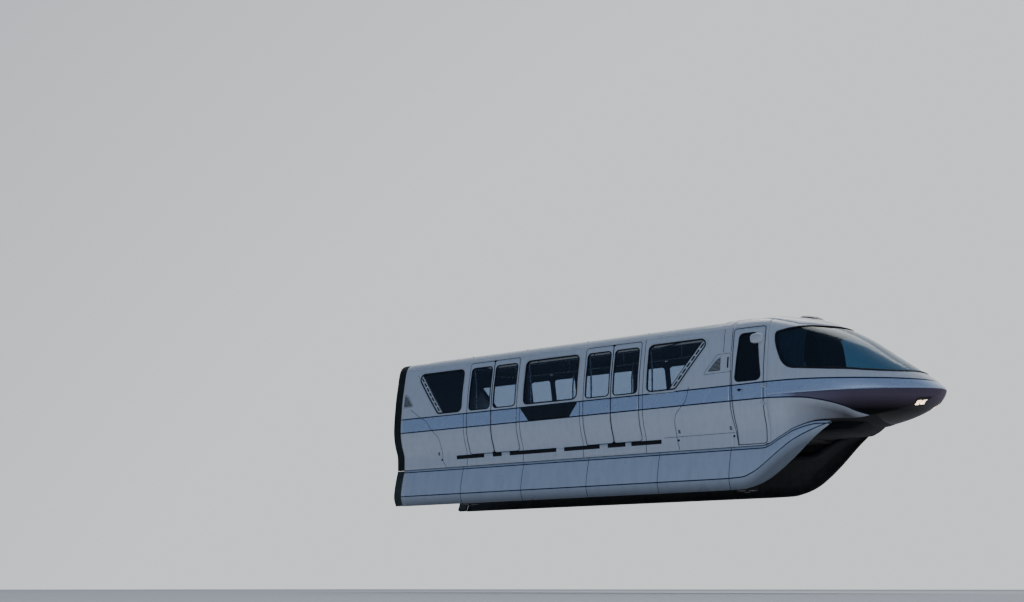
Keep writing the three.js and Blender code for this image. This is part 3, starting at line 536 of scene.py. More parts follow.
def body_paint():
    """White lacquer with its belt, pinstripes and dark underside, and painted shade where the nose turns
    under, by the vertices' heights.
    """
    material, tree, place = new_finish("body_lacquer")
    over = {name: add(tree, "Attribute", out="Fac", attribute_name=name)
            for name in ("over_line_one", "over_line_two", "over_shoulder")}
    x = add(tree, "SeparateXYZ", {0: place})
    # Soft patches about 300 mm wide: lacquer this large never dries quite even.
    speck = add(tree, "TexNoise", {"Vector": place, "Scale": 3.0, "Detail": 5.0})
    # Runs 70 mm wide and ten times as tall: the grey that rain leaves below windows.
    stretched = add(tree, "Mapping", {"Vector": place, "Scale": (14.0, 14.0, 1.2)})
    runs = add(tree, "TexNoise", {"Vector": stretched, "Scale": 1.0, "Detail": 4.0})
    streaks = add(tree, "MapRange", {0: runs, 1: .45, 2: .8, 3: 0.0, 4: .35})
    white = add(tree, "Mix", {0: streaks, 6: linear("#E9EDF2"), 7: linear("#CDD1D4")}, 2, **COLOUR)
    clouds = add(tree, "MapRange", {0: speck, 1: .3, 2: .8, 3: 0.0, 4: .3})
    white = add(tree, "Mix", {0: clouds, 6: white, 7: linear("#DDE2E8")}, 2, **COLOUR)
    silver = add(tree, "Mix", {0: speck, 6: linear("#C6D8F2"), 7: linear("#D0DEF4")}, 2, **COLOUR)
    # The plum starts as a lavender haze 5.1 m out and is solid at 6.5 m. Under the nose it darkens to near
    # black the further it lies below the shoulder: painted shade where the body faces the ground.
    haze = add(tree, "MapRange", {0: x, 1: 5.1, 2: 6.5})
    plum = add(tree, "Mix", {0: haze, 6: linear("#8E879C"), 7: linear("#665A6A")}, 2, **COLOUR)
    deep = add(tree, "MapRange", {0: over["over_shoulder"], 1: -.12, 2: -.36})
    plum = add(tree, "Mix", {0: deep, 6: plum, 7: linear("#050405")}, 2, **COLOUR)

    # Masks are 0 or 1, so that the edges stay as sharp as masking tape leaves them.
    below_one = add(tree, "Math", {0: over["over_line_one"], 1: 0.0}, operation="LESS_THAN")
    over_two = add(tree, "Math", {0: over["over_line_two"], 1: 0.0}, operation="GREATER_THAN")
    belt = add(tree, "Math", {0: below_one, 1: over_two}, operation="MULTIPLY")
    under = add(tree, "Math", {0: over["over_shoulder"], 1: 0.0}, operation="LESS_THAN")
    on_nose = add(tree, "MapRange", {0: x, 1: 5.15, 2: 5.5})
    blade = add(tree, "Math", {0: under, 1: over_two}, operation="MULTIPLY")
    blade = add(tree, "Math", {0: blade, 1: on_nose}, operation="MULTIPLY")
    past_end = add(tree, "Math", {0: x, 1: 6.78}, operation="GREATER_THAN")
    tip = add(tree, "Math", {0: under, 1: past_end}, operation="MULTIPLY")
    dark = add(tree, "Math", {0: blade, 1: tip}, operation="MAXIMUM")
    colour = add(tree, "Mix", {0: belt, 6: white, 7: silver}, 2, **COLOUR)
    colour = add(tree, "Mix", {0: dark, 6: colour, 7: plum}, 2, **COLOUR)
    # Painted shade: from 5.2 m forwards the white darkens to grey-brown below the lower line, where the body
    # turns under and faces down.
    shade = add(tree, "MapRange", {0: over["over_line_two"], 1: 0.0, 2: -.16, 3: .35, 4: 1.0})
    below_two = add(tree, "Math", {0: over["over_line_two"], 1: 0.0}, operation="LESS_THAN")
    shade = add(tree, "Math", {0: shade, 1: below_two}, operation="MULTIPLY")
    fore = add(tree, "MapRange", {0: x, 1: 5.2, 2: 6.3, 3: 0.0, 4: .92})
    shade = add(tree, "Math", {0: shade, 1: fore}, operation="MULTIPLY")
    colour = add(tree, "Mix", {0: shade, 6: colour, 7: linear("#3A3436")}, 2, **COLOUR)
    # The upper pinstripe runs to the tip. The lower one ends where all below the shoulder is dark.
    for name, limit in (("over_line_one", 9.0), ("over_line_two", 6.87)):
        near = add(tree, "Math", {0: over[name]}, operation="ABSOLUTE")
        near = add(tree, "Math", {0: near, 1: PINSTRIPE}, operation="LESS_THAN")
        short = add(tree, "Math", {0: x, 1: limit}, operation="LESS_THAN")
        line = add(tree, "Math", {0: near, 1: short}, operation="MULTIPLY")
        colour = add(tree, "Mix", {0: line, 6: colour, 7: linear(NAVY)}, 2, **COLOUR)
    # Orange peel about 8 mm wide breaks up the reflections of the clear coat.
    peel = add(tree, "TexNoise", {"Vector": place, "Scale": 120.0, "Detail": 2.0})
    bump = add(tree, "Bump", {"Height": peel, "Strength": .04, "Distance": .002})
    sheen = add(tree, "MapRange", {0: speck, 1: .2, 2: .9, 3: .22, 4: .34})
    shader = add(tree, "BsdfPrincipled", {
        "Base Color": colour, "Normal": bump, "Coat Roughness": .06, "Specular IOR Level": .2,
        "Roughness": add(tree, "Math", {0: dark, 1: .22, 2: sheen}, operation="MULTIPLY_ADD"),
        "Metallic": add(tree, "Math", {0: belt, 1: .35}, operation="MULTIPLY"),
        "Coat Weight": add(tree, "Math", {0: dark, 1: -.58, 2: .6}, operation="MULTIPLY_ADD")})
    add(tree, "OutputMaterial", {0: shader})
    return material


def mark_body(obj):
    """Heights over the painted lines, from each vertex's x and z."""
    x, _, z = read_points(obj).T
    return mark(obj, over_line_one=z - steady(*LINE_ONE.T, x), over_line_two=z - steady(*LINE_TWO.T, x),
                over_shoulder=z - steady(*SHOULDER.T, x))


def skirt_paint():
    """The same lacquer on the skirts: white, with pinstripes near the top edge and at the widest line, and
    painted shade below the widest line.
    """
    material, tree, place = new_finish("skirt_lacquer")
    high = add(tree, "Attribute", out="Fac", attribute_name="over_high_stripe")
    low = add(tree, "Attribute", out="Fac", attribute_name="over_low_stripe")
    speck = add(tree, "TexNoise", {"Vector": place, "Scale": 2.4, "Detail": 6.0})
    # Runs 110 mm wide and ten times as tall.
    stretched = add(tree, "Mapping", {"Vector": place, "Scale": (9.0, 9.0, .9)})
    runs = add(tree, "TexNoise", {"Vector": stretched, "Scale": 1.0, "Detail": 5.0})
    streaks = add(tree, "MapRange", {0: runs, 1: .4, 2: .8, 3: 0.0, 4: .4})
    colour = add(tree, "Mix", {0: streaks, 6: linear("#D6E0EC"), 7: linear("#B9C3CE")}, 2, **COLOUR)
    # Painted shade: the 220 mm below the widest line darken towards the lower edge, where the skirt turns
    # under and faces down, which makes the turn look deeper.
    skirt_shade = add(tree, "MapRange", {0: low, 1: .01, 2: -.20, 3: .2, 4: .9})
    below = add(tree, "Math", {0: low, 1: 0.0}, operation="LESS_THAN")
    skirt_shade = add(tree, "Math", {0: skirt_shade, 1: below}, operation="MULTIPLY")
    colour = add(tree, "Mix", {0: skirt_shade, 6: colour, 7: linear("#6C7178")}, 2, **COLOUR)
    # A pinstripe lies where either height is within its half width.
    nearest = add(tree, "Math", {0: add(tree, "Math", {0: high}, operation="ABSOLUTE"),
                                 1: add(tree, "Math", {0: low}, operation="ABSOLUTE")}, operation="MINIMUM")
    stripe = add(tree, "Math", {0: nearest, 1: SKIRT_PINSTRIPE}, operation="LESS_THAN")
    colour = add(tree, "Mix", {0: stripe, 6: colour, 7: linear(NAVY)}, 2, **COLOUR)
    # Orange peel 9 mm wide.
    peel = add(tree, "TexNoise", {"Vector": place, "Scale": 110.0, "Detail": 2.0})
    bump = add(tree, "Bump", {"Height": peel, "Strength": .05, "Distance": .002})
    shader = add(tree, "BsdfPrincipled", {
        "Base Color": colour, "Normal": bump, "Coat Weight": .6, "Coat Roughness": .07,
        "Roughness": add(tree, "MapRange", {0: speck, 1: .2, 2: .9, 3: .24, 4: .38})})
    add(tree, "OutputMaterial", {0: shader})
    return material


def plain_paint(name, one, two, rough=(.3, .45), metal=0.0, scale=4.0, bump_scale=90.0, bump=.06, coat=0.0):
    """A worn paint, plastic or metal: two close shades in patches 1 / scale metres wide, uneven roughness,
    and a grain 1 / bump_scale metres wide."""
    material, tree, place = new_finish(name)
    patches = add(tree, "TexNoise", {"Vector": place, "Scale": scale, "Detail": 6.0})
    share = add(tree, "MapRange", {0: patches, 1: .3, 2: .75})
    colour = add(tree, "Mix", {0: share, 6: linear(one), 7: linear(two)}, 2, **COLOUR)
    grain = add(tree, "TexNoise", {"Vector": place, "Scale": bump_scale, "Detail": 3.0})
    shader = add(tree, "BsdfPrincipled", {
        "Base Color": colour, "Metallic": metal, "Coat Weight": coat,
        "Normal": add(tree, "Bump", {"Height": grain, "Strength": bump, "Distance": .002}),
        "Roughness": add(tree, "MapRange", {0: patches, 1: .25, 2: .85, 3: rough[0], 4: rough[1]})})
    add(tree, "OutputMaterial", {0: shader})
    return material


def tinted_glass(name, tint, film, depth=.10):
    """Toughened glass tinted in the melt. What is behind it shows through a tint, and a soft reflection
    lies over it: 4 in 100 straight on, and more by the fifth power of how far the glass is turned away,
    which is Schlick's rule for glass. A wave about 600 mm long keeps it from looking like a mirror."""
    material, tree, place = new_finish(name)
    wave = add(tree, "TexNoise", {"Vector": place, "Scale": 1.6, "Detail": 1.0})
    normal = add(tree, "Bump", {"Height": wave, "Strength": .05, "Distance": .01})
    through = add(tree, "BsdfTransparent", {"Color": linear(tint)})
    body_of = add(tree, "BsdfPrincipled", {"Base Color": linear(film), "Roughness": .3})
    see = add(tree, "MixShader", {0: depth, 1: through, 2: body_of})
    gloss = add(tree, "BsdfGlossy", {"Color": (1, 1, 1, 1), "Roughness": .14, "Normal": normal})
    turned_away = add(tree, "LayerWeight", {"Blend": .5, "Normal": normal}, "Facing")
    fifth = add(tree, "Math", {0: turned_away, 1: 5.0}, operation="POWER")
    edge = add(tree, "Math", {0: fifth, 1: .90, 2: .04}, operation="MULTIPLY_ADD")
    add(tree, "OutputMaterial", {0: add(tree, "MixShader", {0: edge, 1: see, 2: gloss})})
    return material


# %% [markdown]
# The other finishes are simpler: each is a real material with two close shades, an uneven sheen and a
# grain of its own. What each gives the eye stands beside it.

# %% Finishes
BODY = body_paint()
SKIRT = skirt_paint()
# Rubber is dull and a little chalky, so it stays black beside the bright lacquer.
RUBBER = plain_paint("black_rubber", "#0C0D0F", "#17191C", (.55, .8))
TYRE = plain_paint("tyre_rubber", "#141416", "#26262A", (.7, .9), scale=9.0, bump_scale=160.0, bump=.15)
# Coated polyester: grey-green, with a 3 mm weave. The lower bellows are paler with road dust.
CLOTH = {"rough": (.6, .85), "scale": 5.0, "bump_scale": 300.0, "bump": .12}
BELLOWS = plain_paint("coated_bellows_cloth", "#222E2C", "#36413F", **CLOTH)
LOW_BELLOWS = plain_paint("dusty_bellows_cloth", "#3A4644", "#57625F", **CLOTH)
# Sealant in the seams drinks the light, so that a 10 mm gap reads as a thin dark line.
SEAM = plain_paint("seam_sealant", "#070910", "#10141E", (.7, .9))
# Chassis paint dusted by brakes and tyres, in patches 140 mm wide.
STEEL = plain_paint("dusty_chassis_paint", "#2E3033", "#46423E", (.5, .75), metal=.2, scale=7.0)
BARE_STEEL = plain_paint("brushed_stainless_steel", "#B9BCC0", "#CFD2D5", (.22, .34), metal=1.0, scale=12.0)
ALLOY = plain_paint("anodised_aluminium", "#6F757B", "#8A9096", (.28, .42), metal=.9, scale=8.0)
# Moulded trims inside: nearly black in the cab, to keep reflections off its glass, and grey in the saloon.
CAB_LINING = plain_paint("black_cab_trim", "#24221F", "#322D29", (.7, .9),
                         scale=3.0, bump_scale=200.0, bump=.15)
LINING = plain_paint("moulded_lining", "#343331", "#403E3B", (.45, .6), scale=2.0)
# Painted shade: a matte near black with no gloss at all, for the cab's underside and the belly pan, which lie
# in shadow beneath the car.
UNDERSIDE_SHADE = plain_paint("underside_shade_black", "#0E0E10", "#19191B", (.85, 1.0),
                        scale=6.0, bump_scale=140.0, bump=.3)
TRIM = plain_paint("white_frame_lacquer", "#E6EAEE", "#D2D7DC", (.25, .35), coat=.5)
DARK_PANEL = plain_paint("smoked_panel", "#0D1115", "#171D22", (.2, .35), coat=.4)
# Black for knobs, bezels, screens and handles. On the door track and in the louvres the same black is painted
# shade in place of open slots.
BLACK_AND_SLOT_SHADE = plain_paint("black_paint_and_slot_shade", "#050607", "#0C0D0F", (.5, .7))
GRILLE = plain_paint("olive_grille_cloth", "#3E3E36", "#504F45", (.6, .8), bump_scale=260.0, bump=.2)
# Sheet flooring speckled every 17 mm, and cloth woven in 3 mm threads with a 25 mm fleck.
FLOORING = plain_paint("speckled_floor_sheet", "#3D4144", "#54585B", (.5, .65), scale=60.0)
FABRIC = plain_paint("woven_seat_cloth", "#2F3E63", "#41537D", (.8, .95),
                     scale=40.0, bump_scale=380.0, bump=.35)
CONSOLE = plain_paint("moulded_console_plastic", "#3A3E42", "#4A4E52", (.45, .6), bump_scale=240.0, bump=.2)
PALE_PLASTIC = plain_paint("white_pod_plastic", "#EDEFF1", "#DCE0E4", (.3, .4), coat=.2)
# Saloon panes let most of the light through, the windscreen less of it and the cab door panes the least.
GLASS = tinted_glass("navy_tinted_glass", "#DCE4EE", "#0A1630", .10)
DOOR_GLASS = tinted_glass("dark_door_glass", "#8C96A8", "#050A18", .25)
SCREEN_GLASS = tinted_glass("windscreen_glass", "#ACC2D0", "#101C24", .05)
SMOKED_COVER = tinted_glass("smoked_lamp_cover", "#5A3A2A", "#1A100C", .45)


def glowing(name, colour, strength, tint="#FFF3DC"):
    """A lit lamp behind its lens: an emitter whose light falls off in 40 mm patches, as round a filament."""
    material, tree, place = new_finish(name)
    ripple = add(tree, "TexNoise", {"Vector": place, "Scale": 26.0, "Detail": 2.0})
    share = add(tree, "MapRange", {0: ripple, 1: .35, 2: .65})
    shade = add(tree, "Mix", {0: share, 6: linear(colour), 7: linear(tint)}, 2, **COLOUR)
    shader = add(tree, "BsdfPrincipled", {"Base Color": shade, "Emission Color": shade,
                                          "Emission Strength": strength, "Roughness": .15})
    add(tree, "OutputMaterial", {0: shader})
    return material


DISPLAY = glowing("console_display", "#2E5A78", .4, "#8FB6C8")
LAMP = glowing("lit_headlamp", "#FFC98A", 3.0)
CEILING_LIGHT = glowing("ceiling_diffuser", "#C8C4B8", .25, "#E0E0E0")
print(len(bpy.data.materials), "materials")

# %% [markdown]
# The saloon's side is one sheet of panels with two doorways and three windows. It is laid out as columns
# of panels that share their rows of points, so that they weld into one skin. A column with an opening is
# a grid from its rectangle to the opening's rounded outline. Height and x are chosen freely, and the body
# surface then gives the depth, so every point lies on the true curve of the wall.

# %% Openings of the side
DOOR_LOW, DOOR_HIGH, DOOR_CORNER = .072, 2.140, .060
# Each doorway's rear edge, the line where its leaves meet, and its front edge.
DOORWAYS = {"rear_door": (-2.290, -1.620, -.930), "front_door": (.780, 1.450, 2.120)}
LEAVES = {f"{door}_{end}_leaf": DOORWAYS[door][k:k + 2]
          for door in DOORWAYS for k, end in enumerate(("rear", "front"))}
WINDOWS = {"rear_window": [(-3.120, 1.050), (-2.460, 1.050), (-2.460, 2.020), (-3.840, 2.020)],
           "centre_window": [(-.750, 1.060), (.610, 1.060), (.610, 2.020), (-.750, 2.020)],
           "front_window": [(2.302, 1.050), (2.950, 1.050), (3.680, 2.020), (2.302, 2.020)]}
WINDOW_RADIUS = .11
SIDES = {"right": -1, "left": 1}


def box_corners(x0, x1, z0, z1):
    return [(x0, z0), (x1, z0), (x1, z1), (x0, z1)]


# Heights of the rows: below, beside and above the windows.
WINDOW_BAND = (.95, 2.10)
LOW_ROWS = np.linspace(FOOT, WINDOW_BAND[0], 25)
WINDOW_ROWS = np.linspace(*WINDOW_BAND, 27)
HIGH_ROWS = np.linspace(WINDOW_BAND[1], GUTTER, 4)
ALL_ROWS = np.concatenate([LOW_ROWS, WINDOW_ROWS[1:], HIGH_ROWS[1:]])


def square_chains(x0, x1, rows, cells):
    """A rectangle's four chains, its sides read at the given rows."""
    across = np.linspace(x0, x1, cells + 1)
    upright = lambda x: np.stack([np.full(len(rows), x), rows], -1)
    level = lambda z: np.stack([across, np.full(cells + 1, z)], -1)
    return [level(rows[0]), upright(x1), level(rows[-1])[::-1], upright(x0)[::-1]]


def plain_panel(x0, x1, rows, side, cells):
    """A rectangle of the side."""
    return sheet(np.stack(np.meshgrid(np.linspace(x0, x1, cells + 1), rows), -1), side)


def holed_panel(x0, x1, rows, hole, side, cells, rings=6, arc_share=4, radius=WINDOW_RADIUS):
    """A rectangle of the side with a rounded opening in it."""
    square = square_chains(x0, x1, rows, cells)
    inner = outline(hole, radius, [cells, len(rows) - 1] * 2, arc_share)
    return sheet(between(loop_of(square), loop_of(inner), rings), side, wraps=True)


def saloon_side(side):
    """All panels of one side, column by column: (from, to, cells, window or doorway)."""
    columns = [(TAIL, -3.93, 4, None), (-3.93, -2.375, 26, "rear_window"), (-2.375, -.840, 26, "rear_door"),
               (-.840, .695, 26, "centre_window"), (.695, 2.210, 26, "front_door"),
               (2.210, 3.770, 26, "front_window"), (3.770, JOINT, 6, None)]
    made = []
    for x0, x1, cells, what in columns:
        if what in WINDOWS:
            made += [plain_panel(x0, x1, LOW_ROWS, side, cells),
                     holed_panel(x0, x1, WINDOW_ROWS, WINDOWS[what], side, cells),
                     plain_panel(x0, x1, HIGH_ROWS, side, cells)]
        elif what in DOORWAYS:
            hole = box_corners(DOORWAYS[what][0], DOORWAYS[what][-1], DOOR_LOW, DOOR_HIGH)
            made.append(holed_panel(x0, x1, ALL_ROWS, hole, side, cells, 3, 3, DOOR_CORNER))
        else:
            made.append(plain_panel(x0, x1, ALL_ROWS, side, cells))
    return made


for name, side in SIDES.items():
    mark_body(piece(f"saloon_side_{name}", saloon_side(side), [BODY],
                    replaces=[f"side_wall_{name}"], wall_thickness=.052, lining=LINING, rim=RUBBER))
print("saloon sides:", sum(len(PIECES[f"saloon_side_{n}"].data.polygons) for n in SIDES), "quads")

# %% [markdown]
# Each doorway has two plug doors. Shut, they lie flush with the side, which is why only a thin dark
# line shows round them. A leaf is a grid from its own rounded edge to its window's edge, with a lip of
# rubber down the meeting edge and a pane set a centimetre into it.

# %% Door leaves
LEAF_GAP, LEAF_LOW, LEAF_HIGH, LEAF_RADIUS = .003, DOOR_LOW + .004, DOOR_HIGH - .006, WINDOW_RADIUS * .75


def leaf_window(x0, x1):
    """Corners of a door leaf's window, 50 mm inside the leaf's edges."""
    return box_corners(x0 + .050, x1 - .050, 1.050, 2.010)


def bead(chains, side, profile):
    """A profile carried round an outline on the body."""
    ring = loop_of(chains)
    s = s_at(*ring.T)
    return carried(skin(ring[:, 0], s, side), normal_at(ring[:, 0], s, side), profile)


def grown(corners, margin):
    """Corners moved outwards by a margin along the sum of the two edges' outward normals."""
    corners = np.asarray(corners, float)
    ahead = unit(np.roll(corners, -1, 0) - corners)
    back = unit(corners - np.roll(corners, 1, 0))
    out = lambda d: np.stack([d[:, 1], -d[:, 0]], -1)
    normal = unit(out(ahead) + out(back))
    return corners + normal * margin / np.maximum(.4, (normal * out(ahead)).sum(1, keepdims=True))


def pane(corners, radius, side, depth, cells=14):
    """A sheet of glass within an outline, set in by a depth."""
    return sheet(filled(outline(corners, radius, [cells] * 4, 3)), side, -depth)


def rounded_off(points, corners, radius):
    """Points in the corner of an outline that lie outside its arc are drawn in to the arc's radius."""
    for corner, inwards in corners:
        centre = np.asarray(corner) + np.asarray(inwards) * radius
        away = points - centre
        reach = np.linalg.norm(away, axis=-1, keepdims=True)
        beyond = ((away * inwards < 0).all(-1, keepdims=True)) & (reach > radius)
        points = np.where(beyond, centre + away / np.maximum(reach, 1e-9) * radius, points)
    return points


def door_skin(rear, front, rows, hole, hole_radius, radius, side, cells=16):
    """A door leaf in two parts: plain rows below its window and a holed part round it. rear and front
    give the edges' x at a height; rows are its foot, the split and its head."""
    low, split, high = rows
    x, z = np.meshgrid(np.linspace(0, 1, cells + 1), np.linspace(low, split, 36))
    plain = np.stack([rear(z) * (1 - x) + front(z) * x, z], -1)
    z = np.linspace(split, high, 34)
    u = np.linspace(0, 1, cells + 1)
    level = lambda h: np.stack([rear(h) * (1 - u) + front(h) * u, np.full_like(u, h)], -1)
    upright = lambda edge: np.stack([edge(z), z], -1)
    outer = loop_of([level(split), upright(front), level(high)[::-1], upright(rear)[::-1]])
    inner = loop_of(outline(hole, hole_radius, [cells, len(z) - 1] * 2, 4))
    corners = [((rear(low), low), (1, 1)), ((front(low), low), (-1, 1)),
               ((front(high), high), (-1, -1)), ((rear(high), high), (1, -1))]
    return [sheet(rounded_off(grid, corners, radius), side, wraps=wraps)
            for grid, wraps in ((plain, False), (between(outer, inner, 5), True))]


for name, side in SIDES.items():
    for leaf, (x0, x1) in LEAVES.items():
        rear, front = (lambda z: x0 + LEAF_GAP + 0 * z), (lambda z: x1 - LEAF_GAP + 0 * z)
        window = leaf_window(x0, x1)
        shell = door_skin(rear, front, (LEAF_LOW, .98, LEAF_HIGH), window, LEAF_RADIUS, DOOR_CORNER, side)
        mark_body(piece(f"{leaf}_{name}_panel", shell, [BODY],
                        replaces=[f"{leaf}_{name}"], wall_thickness=.040, lining=LINING, rim=RUBBER))
        gasket = bead(outline(window, LEAF_RADIUS, [16, 24] * 2, 5), side, round_profile(.024, .005))
        piece(f"{leaf}_{name}_gasket", gasket, [RUBBER])
        glass = pane(grown(window, .004), LEAF_RADIUS, side, .006)
        piece(f"{leaf}_{name}_pane", [glass], [GLASS], wall_thickness=.008)
print("door leaves:", len(LEAVES) * 2)

# %% [markdown]
# The fixed windows sit in raised white frames with a black rubber inside. Their panes are tinted navy,
# and on the two slanted windows a pale louvred air strip runs inside the slanted edge.

# %% Fixed windows
FRAME_OUT = .034
for name, side in SIDES.items():
    frames, rubbers = [], []
    for window, corners in WINDOWS.items():
        rubbers += bead(outline(corners, WINDOW_RADIUS, [24] * 4, 6), side, round_profile(.030, .008))
        edge = outline(grown(corners, FRAME_OUT), WINDOW_RADIUS + FRAME_OUT, [24] * 4, 6)
        frames += bead(edge, side, flat_profile(.040, .006, .003))
        glass = pane(grown(corners, .004), WINDOW_RADIUS, side, .010, 22)
        piece(f"{window}_{name}_glass", [glass], [GLASS],
              replaces=[f"{window}_pane_{name}"], wall_thickness=.010)
    piece(f"window_rubbers_{name}", rubbers, [RUBBER])
    piece(f"window_frames_{name}", frames, [TRIM])
print("fixed windows done")

# %% [markdown]
# The roof is the top of the same surface, from gutter to gutter. Ahead of the last window it steps up by
# 27 mm into the fairing over the cab, and a shallow raised panel runs along it.

# %% Roof
def roof_lift(x, s):
    """The fairing's step: 27 mm within 60 mm at x 3.9, sinking away by 4.95. A panel 10 mm high runs behind
    it. Both fade towards the gutter."""
    front = .027 * ease(x, 3.87, 3.93) * (1 - ease(x, 4.30, 4.95))
    panel = .010 * ease(x, -3.62, -3.56) * (1 - ease(x, 3.80, 3.87))
    return (front + panel) * ease(s, .60, .76)


def raised_skin(x, s, side):
    """The skin with the step added to its height."""
    points = skin(x, s, side)
    points[..., 2] += roof_lift(x, s)
    return points


def roof_strip(x, side):
    """Half the roof, from the gutter to the centre line."""
    gutter_s = float(s_at(0, GUTTER))
    s = gutter_s + (1 - gutter_s) * np.linspace(0, 1, 26)
    return facing(patch(raised_skin(*np.meshgrid(x, s), side)))


roof_x = np.unique(np.concatenate([np.linspace(TAIL, JOINT, 90), np.linspace(3.85, 3.95, 9),
                                   np.linspace(-3.64, -3.54, 7)]))
mark_body(piece("roof_skin", [roof_strip(roof_x, -1), roof_strip(roof_x, 1)], [BODY],
                replaces=["roof"], wall_thickness=.052, lining=LINING, rim=RUBBER))
print("roof:", len(PIECES["roof_skin"].data.polygons), "quads")

# %% [markdown]
# The cab is the same surface drawn out to a point. Its skin is laid out in x and s: a column with the cab
# door, a piece behind the windscreen, the roof above the glass, the flank below it and the tip. The
# glass's edge is measured from the photograph at a dozen places, as x and s, and everything round it
# starts on that edge. Points crowd towards the tip, where the curve is tightest.

# %% Windscreen edge
# Columns: x and, for the lower edge, height; then x and s. The lower edge runs from the rear to the front.
LOW_EDGE = np.array([[5.40, 1.2485], [5.62, 1.225], [6.0, 1.184], [6.46, 1.143], [6.7, 1.113], [7.03, 1.085],
                     [7.32, 1.075], [7.52, 1.0915]])
REAR_EDGE = np.array([[5.40, 0], [5.335, .2070], [5.275, .2240], [5.225, .2490], [5.132, .312], [5.080, .352],
                      [5.048, .391], [5.044, .418], [5.062, .436]])
TOP_EDGE = np.array([[5.062, .436], [5.169, .461], [5.347, .539], [5.508, .638], [5.648, .745], [5.805, .814],
                     [5.95, .873], [6.04, .920], [6.095, .957], [6.115, .980], [6.12, 1.0]])
(REAR_LOW, _), (SCREEN_FRONT, _) = LOW_EDGE[[0, -1]]
(REAR_TOP, _), (SCREEN_TOP, _) = TOP_EDGE[[0, -1]]
EDGE_CELLS = 44


def crowded(start, end, cells):
    """Places from start to end that crowd towards the end: the distance left falls as a square."""
    return end - (end - start) * (1 - np.linspace(0, 1, cells + 1)) ** 2


low_x = crowded(REAR_LOW, SCREEN_FRONT, EDGE_CELLS)
low_s = s_at(low_x, np.minimum(steady(*LOW_EDGE.T, low_x), body(low_x, 1)[1]))
low_s[-1] = 1.0
low_chain = np.stack([low_x, low_s], -1)
REAR_EDGE[0, 1] = low_s[0]
top_x = crowded(REAR_TOP, SCREEN_TOP, EDGE_CELLS)
top_chain = np.stack([top_x, steady(*TOP_EDGE.T, top_x)], -1)
rear_chain = chain_through(smooth_line(REAR_EDGE, 79), 20)
centre_chain = np.stack([np.linspace(SCREEN_FRONT, SCREEN_TOP, 21), np.ones(21)], -1)
print("windscreen edge from", low_chain[0], "to", top_chain[-1])


def on_body(grid, side, lift=0.0, mat=0):
    """A grid of (x, s) pairs as a patch on the body, turned to agree with the body's outward normal."""
    points, quads, _ = patch(skin(grid[..., 0], grid[..., 1], side, lift))
    out = normal_at(grid[..., 0].ravel(), grid[..., 1].ravel(), side)
    agrees = (quad_normals(points, quads) * out[quads].mean(1)).sum() > 0
    return points, quads if agrees else quads[:, ::-1], mat


# %% Cab skin
CAB_DOOR = [(4.245, -.150), (4.840, -.150), (4.840, 2.140), (4.180, 2.140)]
CAB_DOOR_BEND = {3: (4.180, .900)}
CAB_WINDOW = [(4.240, 1.070), (4.778, 1.070), (4.660, 2.020), (4.310, 2.020)]
CAB_WINDOW_RADIUS = .09
DOOR_FRONT, CREASE_START = 4.900, 5.30


def cab_side(side):
    """One side of the cab: the door's column, the roof over it, the strip behind the glass, the crown, the
    flank, the tip and the two bands under the crease. The glass's opening is left free."""
    square = square_chains(JOINT, DOOR_FRONT, ALL_ROWS, 14)
    hole = outline(CAB_DOOR, .040, [14, len(ALL_ROWS) - 1] * 2, 3, CAB_DOOR_BEND)
    made = [sheet(between(loop_of(square), loop_of(hole), 3), side, wraps=True)]

    x, t = np.meshgrid(np.linspace(JOINT, DOOR_FRONT, 15), np.linspace(0, 1, 26))
    start = s_at(x, GUTTER)
    made.append(facing(patch(raised_skin(x, start + (1 - start) * t, side))))

    shares = np.concatenate([np.linspace(0, .2, 13), np.linspace(.2, .44, 21)[1:],
                             np.linspace(.44, 1, 17)[1:]])
    behind = np.stack([np.full(len(shares), DOOR_FRONT), shares], -1)
    edge = np.concatenate([between(np.array([[CREASE_START, 0]]), low_chain[:1], 12)[:, 0], rear_chain[1:],
                           between(top_chain[:1], np.array([[REAR_TOP, 1.0]]), 16)[1:, 0]])
    grid = between(behind, edge, 8)
    made.append(facing(patch(raised_skin(grid[..., 0], grid[..., 1], side)), 0.8))

    crown = np.stack([top_chain[:, 0], np.ones(len(top_chain))], -1)
    crease = np.stack([crowded(CREASE_START, TIP, EDGE_CELLS), np.zeros(EDGE_CELLS + 1)], -1)
    made += [on_body(between(top_chain, crown, 16), side), on_body(between(crease, low_chain, 12), side)]
    last = between(crease[-1:], low_chain[-1:], 12)[:, 0]
    t = np.linspace(0, 1, 15)[:, None]
    tip = np.stack([TIP - (TIP - last[:, 0]) * (1 - t) ** 2, np.broadcast_to(last[:, 1], (15, 13))], -1)
    made.append(on_body(tip, side))

    flank_s, under_s = np.linspace(FOOT_S, 0, 25), np.linspace(-1, FOOT_S, 9)
    # The underside from 5.2 m to 6.8 m takes the second finish, matte near black as painted shade.
    for x, s, mat in ((crowded(DOOR_FRONT, TIP, 64), flank_s, 0), (np.linspace(5.20, 6.80, 29), under_s, 1),
                      (crowded(6.80, TIP, 40), under_s, 0)):
        made.append(on_body(np.stack(np.meshgrid(x, s), -1), side, mat=mat))
    return made


mark_body(piece("cab_skin", cab_side(-1) + cab_side(1), [BODY, UNDERSIDE_SHADE],
                replaces=["cab_shell", "nose_underside"], thin_past=7.30,
                wall_thickness=.030, lining=CAB_LINING, rim=RUBBER))
print("cab skin:", len(PIECES["cab_skin"].data.polygons), "quads")

# %% [markdown]
# The windscreen is one curved sheet that wraps from side to side. A sheet stretched over its four edge
# chains in x and s, one centimetre inside the skin, follows the nose exactly. A black rubber as wide as a
# thumb is carried round its edge.

# %% Windscreen
half_screen = filled([low_chain, centre_chain, top_chain[::-1], rear_chain[::-1]])
piece("windscreen_glass", [on_body(half_screen, side, -.008) for side in (-1, 1)], [SCREEN_GLASS],
      replaces=["windscreen"], wall_thickness=.010)

